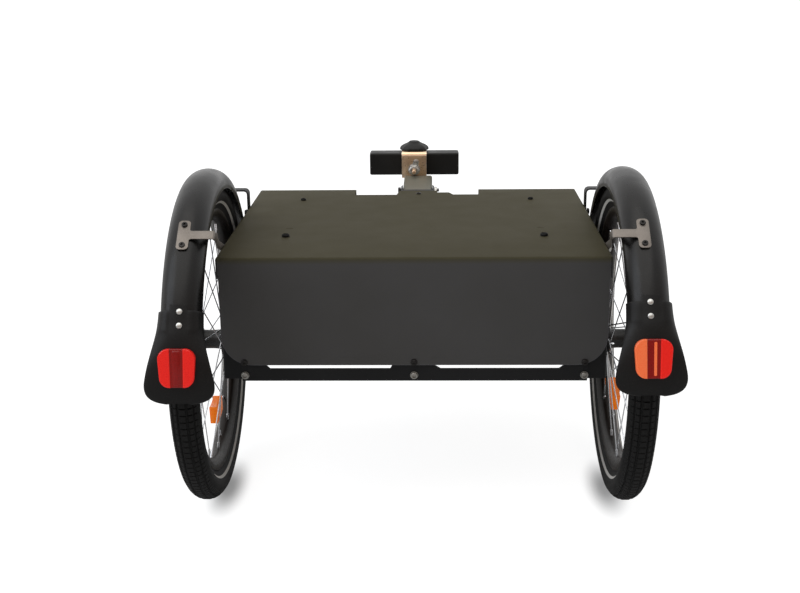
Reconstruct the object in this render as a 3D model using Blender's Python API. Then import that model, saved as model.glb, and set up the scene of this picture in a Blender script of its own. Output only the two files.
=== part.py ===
# Two-wheeled bicycle trailer chassis: a folded deck on a plate frame, spoked 20-inch wheels
# under full mudguards, and a short drawbar that folds down in front and ends in a clamp head.
# Metres, +Z up, +Y forwards (the way it is towed), +X to the right seen from behind.
# The chassis is drawn about the wheel axle (y = 0) and centred over its origin at the end.

import bpy
import bmesh
from math import acos, asin, atan2, cos, degrees, hypot, pi, radians, sin, sqrt, tan
from mathutils import Matrix, Vector

# Fits
CLEAR = 0.0003            # between pieces that touch or turn in each other
REACH = 0.03              # how far a drill goes on past its plate
TUBE_PLAY = 0.0004        # each side of the drawbar in its channel

# Wheels: 20-inch (406) with a 44 mm tyre
TYRE_RADIUS = 0.247
TYRE_WIDTH = 0.044
TYRE_WALL = 0.0028
BEAD_RADIUS = 0.2035      # where the tyre leaves the rim
RIM_WIDTH = 0.027
RIM_DEPTH = 0.019
RIM_WALL = 0.0016
SPOKES = 28
CROSSES = 2
SPOKE_RADIUS = 0.0011
SPOKE_STAGGER = 0.0016    # leading and trailing spokes lie this far to each side
HUB_RADIUS = 0.018
HUB_WIDTH = 0.053
FLANGE_RADIUS = 0.0265
FLANGE_SPREAD = 0.043
FLANGE_THICK = 0.005
AMBER_LOW = 0.108         # inner edge of the spoke reflector from the axle
AMBER_HEIGHT = 0.028
AMBER_THICK = 0.008
BEARING_RADIUS = 0.0135
BEARING_WIDTH = 0.008
AXLE_RADIUS = 0.006
WHEEL_FACETS = 36
HUB_FACETS = 16

# Sheet metal
SHEET = 0.003
STRAP = 0.0025
BEND = 0.0035             # outside radius of the folds
STRAP_FOLD = 0.005        # inside radius of the folds in the straps
PAD_FOLD = 0.006
DECK_RISE = 0.160         # top of the deck above the axle
DECK_HALF = 0.285
DECK_REAR = -0.117
DECK_FRONT = 0.382
DECK_FLANGE = 0.032       # depth of the side and front flanges
PANEL_CORNER = 0.042      # cut off its lower corners
RECESS_HALF = 0.1105
RECESS_DEPTH = 0.049
TAB_HALF = 0.036
TAB_LENGTH = 0.035
FIXING_X = 0.1975
FIXING_FRONT = 0.288
FIXING_REAR = 0.014
FIXING_RADIUS = 0.0042
SLIT_Y = 0.070
SLIT_LENGTH = 0.012
SLIT_WIDTH = 0.0022
SPINE_BOLT_Y = 0.339
SIDE_DROP = 0.0255        # lower edge of the side plates below the axle
SIDE_FRONT = 0.352
BOSS_BELOW = 0.0035       # how far the round boss goes on below that edge
SIDE_FLANGE = 0.0465      # how far the side plates fold inwards at the back
CROSS_Y = 0.296
CROSS_WIDTH = 0.030
CROSS_HEIGHT = 0.050
SPINE_FRONT_HEIGHT = 0.038
SPINE_TAPER_FROM = 0.020
SPINE_TAPER_TO = 0.250
BEAM_INSET = 0.0315       # ends of the crossbeam inside the deck
BEAM_BELOW = 0.0035       # its lower edge below the side plates
BEAM_SHOWS = 0.023        # gap under the rear panel
BEAM_TAB_INSET = 0.010
BEAM_FLANGE = 0.025
SLOT_RISE = 0.020         # lower edge of the windows above the beam's
SLOT_INSET = 0.0315       # their outer ends from the beam's
SLOT_INNER = 0.031
SLOT_CHAMFER = 0.010
BEAM_BOLT_INSET = 0.0045
BEAM_BOLT_RISE = 0.010    # above the beam's lower edge
PANEL_BOLT_UP = 0.0045

# Mudguards
WHEEL_GAP = 0.033         # middle of each wheel outside the deck
GUARD_INSET = 0.001       # mudguard inside the middle of its wheel
GUARD_HALF = 0.0285
GUARD_GAP = 0.018         # outside of the crown above the tyre
GUARD_RISE = 0.024
GUARD_SKIRT = 15          # degrees that each side goes on below the widest point
GUARD_SHELL = 0.0022
GUARD_FRONT = 62          # degrees from the top, forwards
GUARD_REAR = 75
GUARD_TURN = (0, 2.5)      # left and right: degrees turned forwards
GUARD_LEAN = (-0.001, 0.0035)  # left and right: how far the free end stands outwards
FLAP_START = 61.5
FLAP_LOBES = 62.8         # where its raised side lobes start
FLAP_FLARE = 70
FLAP_END = 91.9
FLAP_ROUND = 5.9          # degrees of its rounded end
FLAP_HALF = 0.0478
FLAP_COLLAR = 0.030
FLAP_SHELL = 0.0025
FLAP_LOBE = 0.0033
FLAP_FIT = 0.0005         # collar round the mudguard
FLAP_TAB = 0.0010         # thin middle of the collar, for the rivets
REFLECTOR_AT = 80.1
REFLECTOR_WIDTH = 0.0505
REFLECTOR_HEIGHT = 0.0525
REFLECTOR_DEPTH = 0.010
BRACKET_AT = 39.2
BRACKET_HEAD = 0.050
BRACKET_HEAD_WIDTH = 0.017
BRACKET_STEM = 0.014
BRACKET_BOLT_Y = -0.018
STRAP_BOLT_DROP = 0.0115  # strap bolts below the top of the deck
STAY_Y = 0.242
STAY_WIDTH = 0.020
STAY_RISE = 0.0295        # level part of the stay above the deck
STAY_PAD_AT = 40.5
STAY_PAD = 0.022

# Drawbar and clamp head
TUBE_WIDTH = 0.054
TUBE_HEIGHT = 0.030
TUBE_WALL = 0.0025
PIVOT_Y = 0.430
PIVOT_DROP = 0.0045       # pivot axis below the top face of the tube
PIVOT_RADIUS = 0.003
TUBE_TAIL = 0.028
TUBE_TAIL_CHAMFER = 0.0115
EAR_RADIUS = 0.011
HEAD_Y = 0.552            # rear face of the head plate
HEAD_X = -0.008
HEAD_WIDTH = 0.048
HEAD_PLATE = 0.004
HEAD_RISE = 0.033         # top of the head plate above the deck
ROLL_RISE = 0.0054
ROLL_RADIUS = 0.006
ROLL_TAIL = 0.038
CLAMP_WALL = 0.004
BLOCK_LENGTH = 0.174
BLOCK_HEIGHT = 0.0428
BLOCK_ABOVE = 0.007       # middle of the block above the roll axis
BLOCK_DEPTH = 0.040
BLOCK_CORNER = 0.006
KINGPIN_AHEAD = 0.034
KINGPIN_RADIUS = 0.005
KNOB_RADIUS = 0.027
KNOB_HEIGHT = 0.0155

# Derived planes
DECK_TOP = TYRE_RADIUS + DECK_RISE
SIDE_BOTTOM = TYRE_RADIUS - SIDE_DROP
AXLE_BOSS = SIDE_DROP + BOSS_BELOW
BEAM_BOTTOM = SIDE_BOTTOM - BEAM_BELOW
BEAM_HALF = DECK_HALF - BEAM_INSET
BEAM_TAB = DECK_HALF - BEAM_TAB_INSET
BEAM_BOLT_X = BEAM_HALF - BEAM_BOLT_INSET
BEAM_BOLT_Z = BEAM_BOTTOM + BEAM_BOLT_RISE
SLOT_BOTTOM = BEAM_BOTTOM + SLOT_RISE
SLOT_OUTER = BEAM_HALF - SLOT_INSET
PANEL_BOTTOM = SIDE_BOTTOM + BEAM_SHOWS
WHEEL_X = DECK_HALF + WHEEL_GAP
GUARD_X = WHEEL_X - GUARD_INSET
GUARD_CROWN = TYRE_RADIUS + GUARD_GAP
BRACKET_BOLT_Z = DECK_TOP - STRAP_BOLT_DROP
STAY_BOLT_Z = DECK_TOP - STRAP_BOLT_DROP
STAY_TOP = DECK_TOP + STAY_RISE
HEAD_TOP = DECK_TOP + HEAD_RISE
ROLL_Z = DECK_TOP + ROLL_RISE
DECK_UNDER = DECK_TOP - SHEET - CLEAR
WEB_OUT = DECK_HALF - SHEET - CLEAR
LEG_IN = DECK_HALF + CLEAR
BEAM_REAR = DECK_REAR + SHEET + CLEAR
FRAME_REAR = BEAM_REAR + SHEET + CLEAR
TUBE_TOP = DECK_UNDER - SHEET - TUBE_PLAY
PIVOT_Z = TUBE_TOP - PIVOT_DROP
SPINE_HALF = TUBE_WIDTH / 2 + TUBE_PLAY + SHEET
STRAP_RADIUS = GUARD_CROWN + CLEAR


def clear_scene():
    for thing in list(bpy.data.objects):
        bpy.data.objects.remove(thing)


def material(name, color, roughness, metallic=0.0):
    made = bpy.data.materials.new(name)
    made.use_nodes = True
    shader = made.node_tree.nodes["Principled BSDF"]
    shader.inputs["Base Color"].default_value = (*color, 1.0)
    shader.inputs["Roughness"].default_value = roughness
    shader.inputs["Metallic"].default_value = metallic
    return made


def add(name, bm, slot, parent=None, crease=35):
    """Turn a bmesh into an object, facing outwards and smooth below the crease angle."""
    bmesh.ops.recalc_face_normals(bm, faces=bm.faces)
    mesh = bpy.data.meshes.new(name)
    bm.to_mesh(mesh)
    bm.free()
    mesh.shade_smooth()
    mesh.set_sharp_from_angle(angle=radians(crease))
    made = bpy.data.objects.new(name, mesh)
    bpy.context.scene.collection.objects.link(made)
    if slot:
        mesh.materials.append(slot)
    made.parent = parent
    return made


def empty(name, location, parent=None, turn=0.0):
    made = bpy.data.objects.new(name, None)
    made.empty_display_size = 0.05
    bpy.context.scene.collection.objects.link(made)
    made.parent = parent
    made.location = location
    made.rotation_euler = (0, 0, turn)
    return made


def combine(target, operation, *tools):
    """Live Booleans whose tools are hidden helpers."""
    for tool in tools:
        tool.hide_render = True
        tool.display_type = "WIRE"
        tool.parent = target.parent
        modifier = target.modifiers.new(tool.name, "BOOLEAN")
        modifier.operation = operation
        modifier.object = tool
        modifier.solver = "EXACT"
    return target


def turn_2d(v, angle):
    return Vector((v.x * cos(angle) - v.y * sin(angle), v.x * sin(angle) + v.y * cos(angle)))


def left_of(v):
    return Vector((-v.y, v.x))


def bends(path, radius, steps=3):
    """Points and left-hand normals along a path whose corners are rounded."""
    path = [Vector(p) for p in path]
    ways = [(b - a).normalized() for a, b in zip(path, path[1:])]
    rows = [(path[0], left_of(ways[0]))]
    for corner, before, after in zip(path[1:-1], ways, ways[1:]):
        angle = atan2(before.x * after.y - before.y * after.x, before.dot(after))
        side = 1 if angle > 0 else -1
        start = corner - before * radius * tan(abs(angle) / 2)
        centre = start + left_of(before) * side * radius
        for k in range(steps + 1):
            way = turn_2d(before, angle * k / steps)
            rows.append((centre - left_of(way) * side * radius, left_of(way)))
    rows.append((path[-1], left_of(ways[-1])))
    return rows


def fold(path, thickness, radius=BEND, steps=3):
    """Closed outline of a sheet folded along a path; the thickness goes to its left."""
    rows = bends(path, radius, steps)
    return [p for p, n in rows] + [p + n * thickness for p, n in reversed(rows)]


def rounded(outline, radius, steps=3):
    """A closed outline with its corners rounded, by one radius or by one for each corner."""
    points = [Vector(p) for p in outline]
    count = len(points)
    radii = radius if isinstance(radius, (list, tuple)) else [radius] * count
    made = []
    for i, corner in enumerate(points):
        before = (corner - points[i - 1]).normalized()
        after = (points[(i + 1) % count] - corner).normalized()
        bend = [corner - before * 10, corner, corner + after * 10]
        made += [p for p, n in bends(bend, radii[i], steps)[1:-1]]
    return made


def rectangle(x0, x1, y0, y1):
    return [(x0, y0), (x1, y0), (x1, y1), (x0, y1)]


def disc(cx, cy, radius, count=24, start=0.0, end=2 * pi):
    """Points round a circle, or along an arc with both ends when end is given."""
    whole = abs(end - start - 2 * pi) < 1e-9
    last = count if whole else count - 1
    return [(cx + radius * cos(start + (end - start) * k / last),
             cy + radius * sin(start + (end - start) * k / last)) for k in range(count)]


PLANES = {
    "X": lambda a, b, h: (h, a, b),
    "Y": lambda a, b, h: (a, h, b),
    "Z": lambda a, b, h: (a, b, h),
}


def prism(bm, outline, axis, low, high):
    """Extrude a closed outline along X, Y or Z into a bmesh."""
    put = PLANES[axis]
    face = bm.faces.new([bm.verts.new(put(p[0], p[1], low)) for p in outline])
    grown = bmesh.ops.extrude_face_region(bm, geom=[face])
    top = [v for v in grown["geom"] if isinstance(v, bmesh.types.BMVert)]
    shift = Vector(put(0, 0, high - low))
    bmesh.ops.translate(bm, vec=shift, verts=top)
    return bm


def extruded(name, outline, axis, low, high, slot=None, parent=None, crease=35):
    return add(name, prism(bmesh.new(), outline, axis, low, high), slot, parent, crease)


def bend_sheet(bm, origin, along, normal, radius, angle, steps=4):
    """Fold what lies beyond the origin towards the normal, as a press brake folds a blank."""
    origin, along, normal = Vector(origin), Vector(along), Vector(normal)
    length = radius * angle
    for k in range(steps + 1):
        everything = bm.verts[:] + bm.edges[:] + bm.faces[:]
        bmesh.ops.bisect_plane(bm, geom=everything, dist=1e-7, plane_no=along,
                               plane_co=origin + along * (length * k / steps))
    for vert in bm.verts:
        offset = vert.co - origin
        gone = offset.dot(along)
        if gone <= 1e-7:
            continue
        high = offset.dot(normal)
        sideways = offset - along * gone - normal * high
        turn = min(gone / radius, angle)
        rest = max(gone - length, 0)
        ahead = (radius - high) * sin(turn) + rest * cos(turn)
        up = radius - (radius - high) * cos(turn) + rest * sin(turn)
        vert.co = origin + sideways + along * ahead + normal * up
    return bm


def lathe(bm, profile, axis="X", facets=24, at=(0, 0, 0), closed=False, start=0.0):
    """Spin a profile of (along, radius) points about an axis through a point."""
    axes = {"X": (Vector((1, 0, 0)), Vector((0, 0, -1))),
            "Y": (Vector((0, 1, 0)), Vector((0, 0, -1))),
            "Z": (Vector((0, 0, 1)), Vector((0, -1, 0)))}
    along, out = axes[axis]
    out = Matrix.Rotation(start, 3, along) @ out
    at = Vector(at)
    verts = [bm.verts.new(at + along * a + out * r) for a, r in profile]
    edges = [bm.edges.new(pair) for pair in zip(verts, verts[1:])]
    if closed:
        edges.append(bm.edges.new((verts[-1], verts[0])))
    spun = bmesh.ops.spin(bm, geom=verts + edges, cent=at, axis=along,
                          angle=2 * pi, steps=facets, use_merge=True)
    bmesh.ops.remove_doubles(bm, verts=bm.verts, dist=1e-6)
    return bm


def turned(name, profile, axis, slot, parent=None, facets=24, at=(0, 0, 0), closed=False,
           crease=35):
    bm = lathe(bmesh.new(), profile, axis, facets, at, closed)
    return add(name, bm, slot, parent, crease)


def lofted(name, rings, slot, parent=None, crease=40, ring_closed=True):
    """Bridge rings of equal length and cap both ends."""
    bm = bmesh.new()
    rows = [[bm.verts.new(p) for p in ring] for ring in rings]
    count = len(rows[0])
    for one, two in zip(rows, rows[1:]):
        for i in range(count):
            j = (i + 1) % count
            bm.faces.new((one[i], one[j], two[j], two[i]))
    bm.faces.new(rows[0])
    bm.faces.new(rows[-1])
    return add(name, bm, slot, parent, crease)


def rod(bm, start, end, radius, sides=4):
    """A straight prism of regular section between two points."""
    start, end = Vector(start), Vector(end)
    way = end - start
    frame = way.to_track_quat("Z", "Y").to_matrix()
    rows = []
    for base in (start, end):
        ring = [base + frame @ Vector((radius * cos(2 * pi * k / sides),
                                       radius * sin(2 * pi * k / sides), 0))
                for k in range(sides)]
        rows.append([bm.verts.new(p) for p in ring])
    for i in range(sides):
        j = (i + 1) % sides
        bm.faces.new((rows[0][i], rows[0][j], rows[1][j], rows[1][i]))
    bm.faces.new(reversed(rows[0]))
    bm.faces.new(rows[1])


# Wheels. Each is drawn about its own middle, with +X to the outside of the trailer.

RIM_INNER = BEAD_RADIUS - CLEAR - RIM_DEPTH
RIM_FLAT = RIM_INNER * cos(pi / WHEEL_FACETS)
SPOKE_END = RIM_FLAT - 2 * CLEAR
SPOKE_CIRCLE = FLANGE_RADIUS - 0.004


def tyre(name, parent):
    """A horseshoe section, open towards the rim, with straight beads."""
    middle = TYRE_RADIUS - TYRE_WIDTH / 2
    bead = RIM_WIDTH / 2 - 0.001

    def half(radius, steps):
        return [(radius * cos(a), middle + radius * sin(a))
                for a in (radians(-30 + 240 * k / steps) for k in range(steps + 1))]

    outer = [(bead, BEAD_RADIUS)] + half(TYRE_WIDTH / 2, 8) + [(-bead, BEAD_RADIUS)]
    inner = [(bead - TYRE_WALL, BEAD_RADIUS)] + half(TYRE_WIDTH / 2 - TYRE_WALL, 4)
    inner += [(-bead + TYRE_WALL, BEAD_RADIUS)]
    return turned(name, outer + inner[::-1], "X", RUBBER, parent, WHEEL_FACETS, closed=True,
                  crease=50)


def rim(name, parent):
    """A deep single-wall channel whose lips carry the tyre beads."""
    top = BEAD_RADIUS - CLEAR
    wide = RIM_WIDTH / 2
    outer = [(wide, top), (wide, top - 0.38 * RIM_DEPTH), (0.42 * wide, RIM_INNER)]
    inner = [(wide - RIM_WALL - 0.0015, top), (0.42 * wide - RIM_WALL, RIM_INNER + RIM_WALL)]
    right = outer + [(-x, r) for x, r in reversed(outer)]
    left = [(-x, r) for x, r in inner] + inner[::-1]
    return turned(name, right + left, "X", RIM_BLACK, parent, WHEEL_FACETS, closed=True)


def hub_profile():
    end = HUB_WIDTH / 2
    flange = FLANGE_SPREAD / 2
    half = FLANGE_THICK / 2
    seat = BEARING_RADIUS + CLEAR
    outer = [(end, HUB_RADIUS - 0.002), (flange + half, HUB_RADIUS),
             (flange + half, FLANGE_RADIUS - 0.001), (flange, FLANGE_RADIUS),
             (flange - half, FLANGE_RADIUS - 0.001), (flange - half - 0.004, HUB_RADIUS - 0.003)]
    inner = [(end, seat), (end - BEARING_WIDTH - CLEAR, seat),
             (end - BEARING_WIDTH - CLEAR, AXLE_RADIUS + 0.003)]
    outer = outer + [(-x, r) for x, r in reversed(outer)]
    inner = inner + [(-x, r) for x, r in reversed(inner)]
    return outer + inner[::-1]


def hub_and_spokes(name, parent):
    """Spokes laced two-cross and joined to the flanges they hook into."""
    hub = turned(name, hub_profile(), "X", HUB_BLACK, parent, HUB_FACETS, closed=True)
    bm = bmesh.new()
    per_flange = SPOKES // 2
    step = 2 * pi / per_flange
    for flange in (1, -1):
        for k in range(per_flange):
            lean = 1 if k % 2 == 0 else -1
            at_hub = step * (k + (0.5 if flange < 0 else 0))
            at_rim = at_hub + lean * CROSSES * step
            x_hub = flange * FLANGE_SPREAD / 2 + lean * SPOKE_STAGGER
            x_rim = flange * 0.003 + lean * SPOKE_STAGGER
            start = (x_hub, SPOKE_CIRCLE * cos(at_hub), SPOKE_CIRCLE * sin(at_hub))
            end = (x_rim, SPOKE_END * cos(at_rim), SPOKE_END * sin(at_rim))
            rod(bm, start, end, SPOKE_RADIUS)
    spokes = add(name + "_lacing", bm, None, parent)
    return combine(hub, "UNION", spokes)


def bearing(name, parent, side):
    x = side * (HUB_WIDTH / 2 - BEARING_WIDTH / 2)
    half = BEARING_WIDTH / 2
    bore = AXLE_RADIUS + CLEAR
    ring = [(x + half, BEARING_RADIUS), (x - half, BEARING_RADIUS), (x - half, bore),
            (x + half, bore)]
    return turned(name, ring, "X", STEEL, parent, HUB_FACETS, closed=True)


def cone_at(radius):
    """Half the distance between the two sheets of spokes at a radius."""
    share = (radius - SPOKE_CIRCLE) / (SPOKE_END - SPOKE_CIRCLE)
    return FLANGE_SPREAD / 2 + (0.003 - FLANGE_SPREAD / 2) * share


def spoke_reflector(name, parent, angle):
    """A curved bar held between the two sheets of spokes."""
    low, high, thick = AMBER_LOW, AMBER_LOW + AMBER_HEIGHT, AMBER_THICK
    span = radians(19)
    face = cone_at(high + 0.004) - SPOKE_STAGGER - SPOKE_RADIUS - CLEAR
    outline = []
    for radius, way in ((low, 1), (high, -1)):
        for k in range(7):
            a = way * (2 * k / 6 - 1) * span
            bulge = 0.004 * (1 - abs(2 * k / 6 - 1)) if radius == high else 0
            outline.append(((radius + bulge) * sin(angle + a), -(radius + bulge) * cos(angle + a)))
    return extruded(name, outline, "X", face - thick, face, AMBER, parent)


def valve(name, parent):
    top = RIM_FLAT - CLEAR
    profile = [(top, 0), (top, 0.0035), (top - 0.018, 0.0035), (top - 0.019, 0.0027),
               (top - 0.034, 0.0025), (top - 0.034, 0)]
    bm = lathe(bmesh.new(), profile, "Z", 12)
    made = add(name, bm, BRASS_BLACK, parent)
    made.rotation_euler = (radians(75), 0, 0)
    return made


def wheel(side, name, root, reflector_angle):
    turn = 0 if side > 0 else pi
    hub = empty("wheel_" + name, (side * WHEEL_X, 0, TYRE_RADIUS), root, turn)
    tyre("tyre_" + name, hub)
    rim("rim_" + name, hub)
    hub_and_spokes("hub_and_spokes_" + name, hub)
    bearing("inner_bearing_" + name, hub, -1)
    bearing("outer_bearing_" + name, hub, 1)
    spoke_reflector("spoke_reflector_" + name, hub, reflector_angle)
    valve("valve_stem_" + name, hub)
    return hub


# Chassis, drawn about the axle. Everything with a side takes +1 (right) or -1 (left).

def mirrored(outline, side):
    return [(side * p[0], p[1]) for p in outline]


def holes(name, parent, *drills):
    """One helper with a round drill for each (axis, centre, radius to its flats, low, high)."""
    bm = bmesh.new()
    for axis, centre, radius, low, high in drills:
        prism(bm, disc(centre[0], centre[1], radius / cos(pi / 10), 10), axis, low, high)
    return add(name, bm, None, parent)


def block(bm, x0, x1, y0, y1, z0, z1):
    return prism(bm, rectangle(x0, x1, y0, y1), "Z", z0, z1)


def side_drills(side, radius):
    """Where the mudguard bracket and stay bolt through the side flange."""
    low, high = sorted((side * (DECK_HALF - REACH), side * (DECK_HALF + REACH)))
    return [("X", (BRACKET_BOLT_Y, BRACKET_BOLT_Z), radius, low, high),
            ("X", (STAY_Y, STAY_BOLT_Z), radius, low, high)]


def beam_drills(x, radius):
    """The panel bolt and the crossbeam bolt below it."""
    return [("Y", (x, PANEL_BOTTOM + PANEL_BOLT_UP), radius, DECK_REAR - 0.02, FRAME_REAR + 0.02),
            ("Y", (x, BEAM_BOLT_Z), radius, DECK_REAR - 0.02, FRAME_REAR + 0.02)]


def corner_cut(side):
    """What is cut off a lower corner of the rear panel, with both ends of the cut eased."""
    half = DECK_HALF - BEND
    low = (half - PANEL_CORNER, PANEL_BOTTOM)
    high = (half, PANEL_BOTTOM + 1.05 * PANEL_CORNER)
    path = [(low[0] - 1, low[1]), low, high, (high[0], high[1] + 1)]
    edge = [p for p, n in bends(path, 0.020, 4)[1:-1]]
    outline = edge + [Vector((half + 0.02, edge[-1].y)), Vector((half + 0.02, PANEL_BOTTOM - 0.02)),
                      Vector((edge[0].x, PANEL_BOTTOM - 0.02))]
    return mirrored(outline, side)


def deck_panel(root):
    """Deck, side flanges and rear panel folded from one sheet."""
    half = DECK_HALF - BEND
    front = DECK_FRONT
    path = [(front, DECK_TOP - DECK_FLANGE), (front, DECK_TOP), (DECK_REAR, DECK_TOP),
            (DECK_REAR, PANEL_BOTTOM)]
    deck = extruded("deck_panel", fold(path, SHEET), "X", -half, half, DECK_PAINT, root)
    path = [(DECK_HALF, DECK_TOP - DECK_FLANGE), (DECK_HALF, DECK_TOP), (-DECK_HALF, DECK_TOP),
            (-DECK_HALF, DECK_TOP - DECK_FLANGE)]
    flanges = extruded("deck_flanges", fold(path, SHEET), "Y", DECK_REAR + BEND,
                       front - BEND, None, root)
    back = front - RECESS_DEPTH
    recess = [(-RECESS_HALF, front + 0.02), (-RECESS_HALF, back), (-TAB_HALF, back),
              (-TAB_HALF + 0.004, back + TAB_LENGTH), (TAB_HALF, back + TAB_LENGTH),
              (TAB_HALF, back + 0.019), (TAB_HALF + 0.021, back + 0.019),
              (TAB_HALF + 0.028, back), (RECESS_HALF, back), (RECESS_HALF, front + 0.02)]
    recess_tool = extruded("deck_recess", recess, "Z", DECK_TOP - 0.05, DECK_TOP + 0.02, None, root)
    trims = bmesh.new()
    drills = [("Z", (0.003, SPINE_BOLT_Y), 0.0023, DECK_TOP - 0.01, DECK_TOP + 0.01)]
    for side in (1, -1):
        prism(trims, corner_cut(side), "Y", DECK_REAR - 0.01, DECK_REAR + 0.02)
        for y, radius in ((FIXING_FRONT, FIXING_RADIUS), (FIXING_REAR, FIXING_RADIUS + 0.0008)):
            drills.append(("Z", (side * FIXING_X, y), radius, DECK_TOP - 0.01, DECK_TOP + 0.01))
        low, high = DECK_TOP - 0.01, DECK_TOP + 0.01
        prism(trims, rectangle(side * FIXING_X - SLIT_LENGTH / 2, side * FIXING_X + SLIT_LENGTH / 2,
                               SLIT_Y - SLIT_WIDTH / 2, SLIT_Y + SLIT_WIDTH / 2), "Z", low, high)
        drills += side_drills(side, 0.003 + CLEAR)
    for x in (-BEAM_BOLT_X, 0, BEAM_BOLT_X):
        drills.append(beam_drills(x, 0.0022 + CLEAR)[0])
    combine(deck, "UNION", flanges)
    return combine(deck, "DIFFERENCE", recess_tool, add("deck_trims", trims, None, root),
                   holes("deck_holes", root, *drills))


def side_outline():
    """Side view of a side plate: a boss round the axle, straight to its shallow front end."""
    centre = Vector((0, TYRE_RADIUS))
    front = Vector((SIDE_FRONT, DECK_TOP - DECK_FLANGE - 0.006))
    ahead = front - centre
    tangent = atan2(ahead.y, ahead.x) - acos(AXLE_BOSS / ahead.length)
    leave = -pi + asin((TYRE_RADIUS - SIDE_BOTTOM) / AXLE_BOSS)
    boss = disc(0, TYRE_RADIUS, AXLE_BOSS, 8, leave, tangent)
    rear = FRAME_REAR - 0.01
    return [(rear, DECK_UNDER), (rear, SIDE_BOTTOM)] + boss + [
        tuple(front), (SIDE_FRONT, DECK_UNDER - 0.008), (SIDE_FRONT - 0.008, DECK_UNDER)]


def side_frame(side, name, root):
    """Plate under each side of the deck that carries the wheel, folded inwards at the back."""
    plan = fold([(WEB_OUT - SIDE_FLANGE, FRAME_REAR), (WEB_OUT, FRAME_REAR),
                 (WEB_OUT, SIDE_FRONT + 0.01)], SHEET)
    plate = extruded("side_frame_" + name, mirrored(plan, side), "Z", SIDE_BOTTOM - 0.02,
                     DECK_UNDER + 0.02, FRAME_BLACK, root)
    low, high = sorted((side * (DECK_HALF - SIDE_FLANGE - REACH), side * (DECK_HALF + REACH)))
    shape = extruded("side_outline_" + name, side_outline(), "X", low, high, None, root)
    drills = side_drills(side, 0.003 + CLEAR) + beam_drills(side * BEAM_BOLT_X, 0.0025 + CLEAR)
    drills.append(("X", (0, TYRE_RADIUS), AXLE_RADIUS + CLEAR, low, high))
    combine(plate, "INTERSECT", shape)
    return combine(plate, "DIFFERENCE", holes("side_holes_" + name, root, *drills))


def spine_floor(y):
    """Underside of the spine's walls."""
    front = DECK_UNDER - SPINE_FRONT_HEIGHT
    share = min(max((y - SPINE_TAPER_FROM) / (SPINE_TAPER_TO - SPINE_TAPER_FROM), 0), 1)
    return SIDE_BOTTOM + (front - SIDE_BOTTOM) * share


def front_crossmember(root):
    """Channel between the side plates, notched for the spine."""
    y0, y1 = CROSS_Y - CROSS_WIDTH / 2, CROSS_Y + CROSS_WIDTH / 2
    half = WEB_OUT - SHEET - CLEAR
    floor = DECK_UNDER - CROSS_HEIGHT
    path = [(y1, floor), (y1, DECK_UNDER), (y0, DECK_UNDER), (y0, floor)]
    beam = extruded("front_crossmember", fold(path, SHEET), "X", -half, half, FRAME_BLACK, root)
    notch = block(bmesh.new(), -SPINE_HALF - CLEAR, SPINE_HALF + CLEAR, y0 - 0.01, y1 + 0.01,
                  spine_floor(y0) - CLEAR, DECK_UNDER + 0.01)
    tool = add("crossmember_notch", notch, None, root)
    drills = [("Z", (side * FIXING_X, FIXING_FRONT), FIXING_RADIUS, DECK_UNDER - 0.01,
               DECK_UNDER + 0.01) for side in (1, -1)]
    return combine(beam, "DIFFERENCE", tool, holes("crossmember_holes", root, *drills))


def centre_spine(root):
    """Channel down the middle whose front ends are the ears of the drawbar pivot."""
    web_end = PIVOT_Y - TUBE_TAIL - 0.006
    path = [(SPINE_HALF, SIDE_BOTTOM - 0.01), (SPINE_HALF, DECK_UNDER), (-SPINE_HALF, DECK_UNDER),
            (-SPINE_HALF, SIDE_BOTTOM - 0.01)]
    spine = extruded("centre_spine", fold(path, SHEET), "Y", FRAME_REAR + SHEET / 2,
                     PIVOT_Y + EAR_RADIUS + 0.01, FRAME_BLACK, root)
    top = DECK_UNDER + 0.01
    ear = disc(PIVOT_Y, PIVOT_Z, EAR_RADIUS, 8, -pi / 2, asin((DECK_UNDER - PIVOT_Z) / EAR_RADIUS))
    outline = [(FRAME_REAR - 0.01, top), (FRAME_REAR - 0.01, SIDE_BOTTOM),
               (SPINE_TAPER_FROM, SIDE_BOTTOM), (SPINE_TAPER_TO, spine_floor(SPINE_TAPER_TO)),
               (web_end - 0.02, spine_floor(web_end))] + ear + [(ear[-1][0], top)]
    shape = extruded("spine_outline", outline, "X", -0.05, 0.05, None, root)
    rear_path = [(FRAME_REAR + 0.03, DECK_UNDER - SHEET / 3), (FRAME_REAR, DECK_UNDER - SHEET / 3),
                 (FRAME_REAR, SIDE_BOTTOM + CLEAR)]
    rear = extruded("spine_rear_plate", fold(rear_path, SHEET), "X", -SPINE_HALF + SHEET / 2,
                    SPINE_HALF - SHEET / 2, None, root)
    window = block(bmesh.new(), -SPINE_HALF + SHEET, SPINE_HALF - SHEET, web_end,
                   PIVOT_Y + 0.05, DECK_UNDER - SHEET - 0.0008, top)
    drills = [("X", (PIVOT_Y, PIVOT_Z), PIVOT_RADIUS + CLEAR, -0.05, 0.05),
              ("Z", (0.003, SPINE_BOLT_Y), 0.0023, DECK_UNDER - 0.01, DECK_UNDER + 0.01)]
    drills += beam_drills(0, 0.0025 + CLEAR)
    combine(spine, "INTERSECT", shape)
    combine(spine, "UNION", rear)
    return combine(spine, "DIFFERENCE", add("spine_window", window, None, root),
                   holes("spine_holes", root, *drills))


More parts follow.
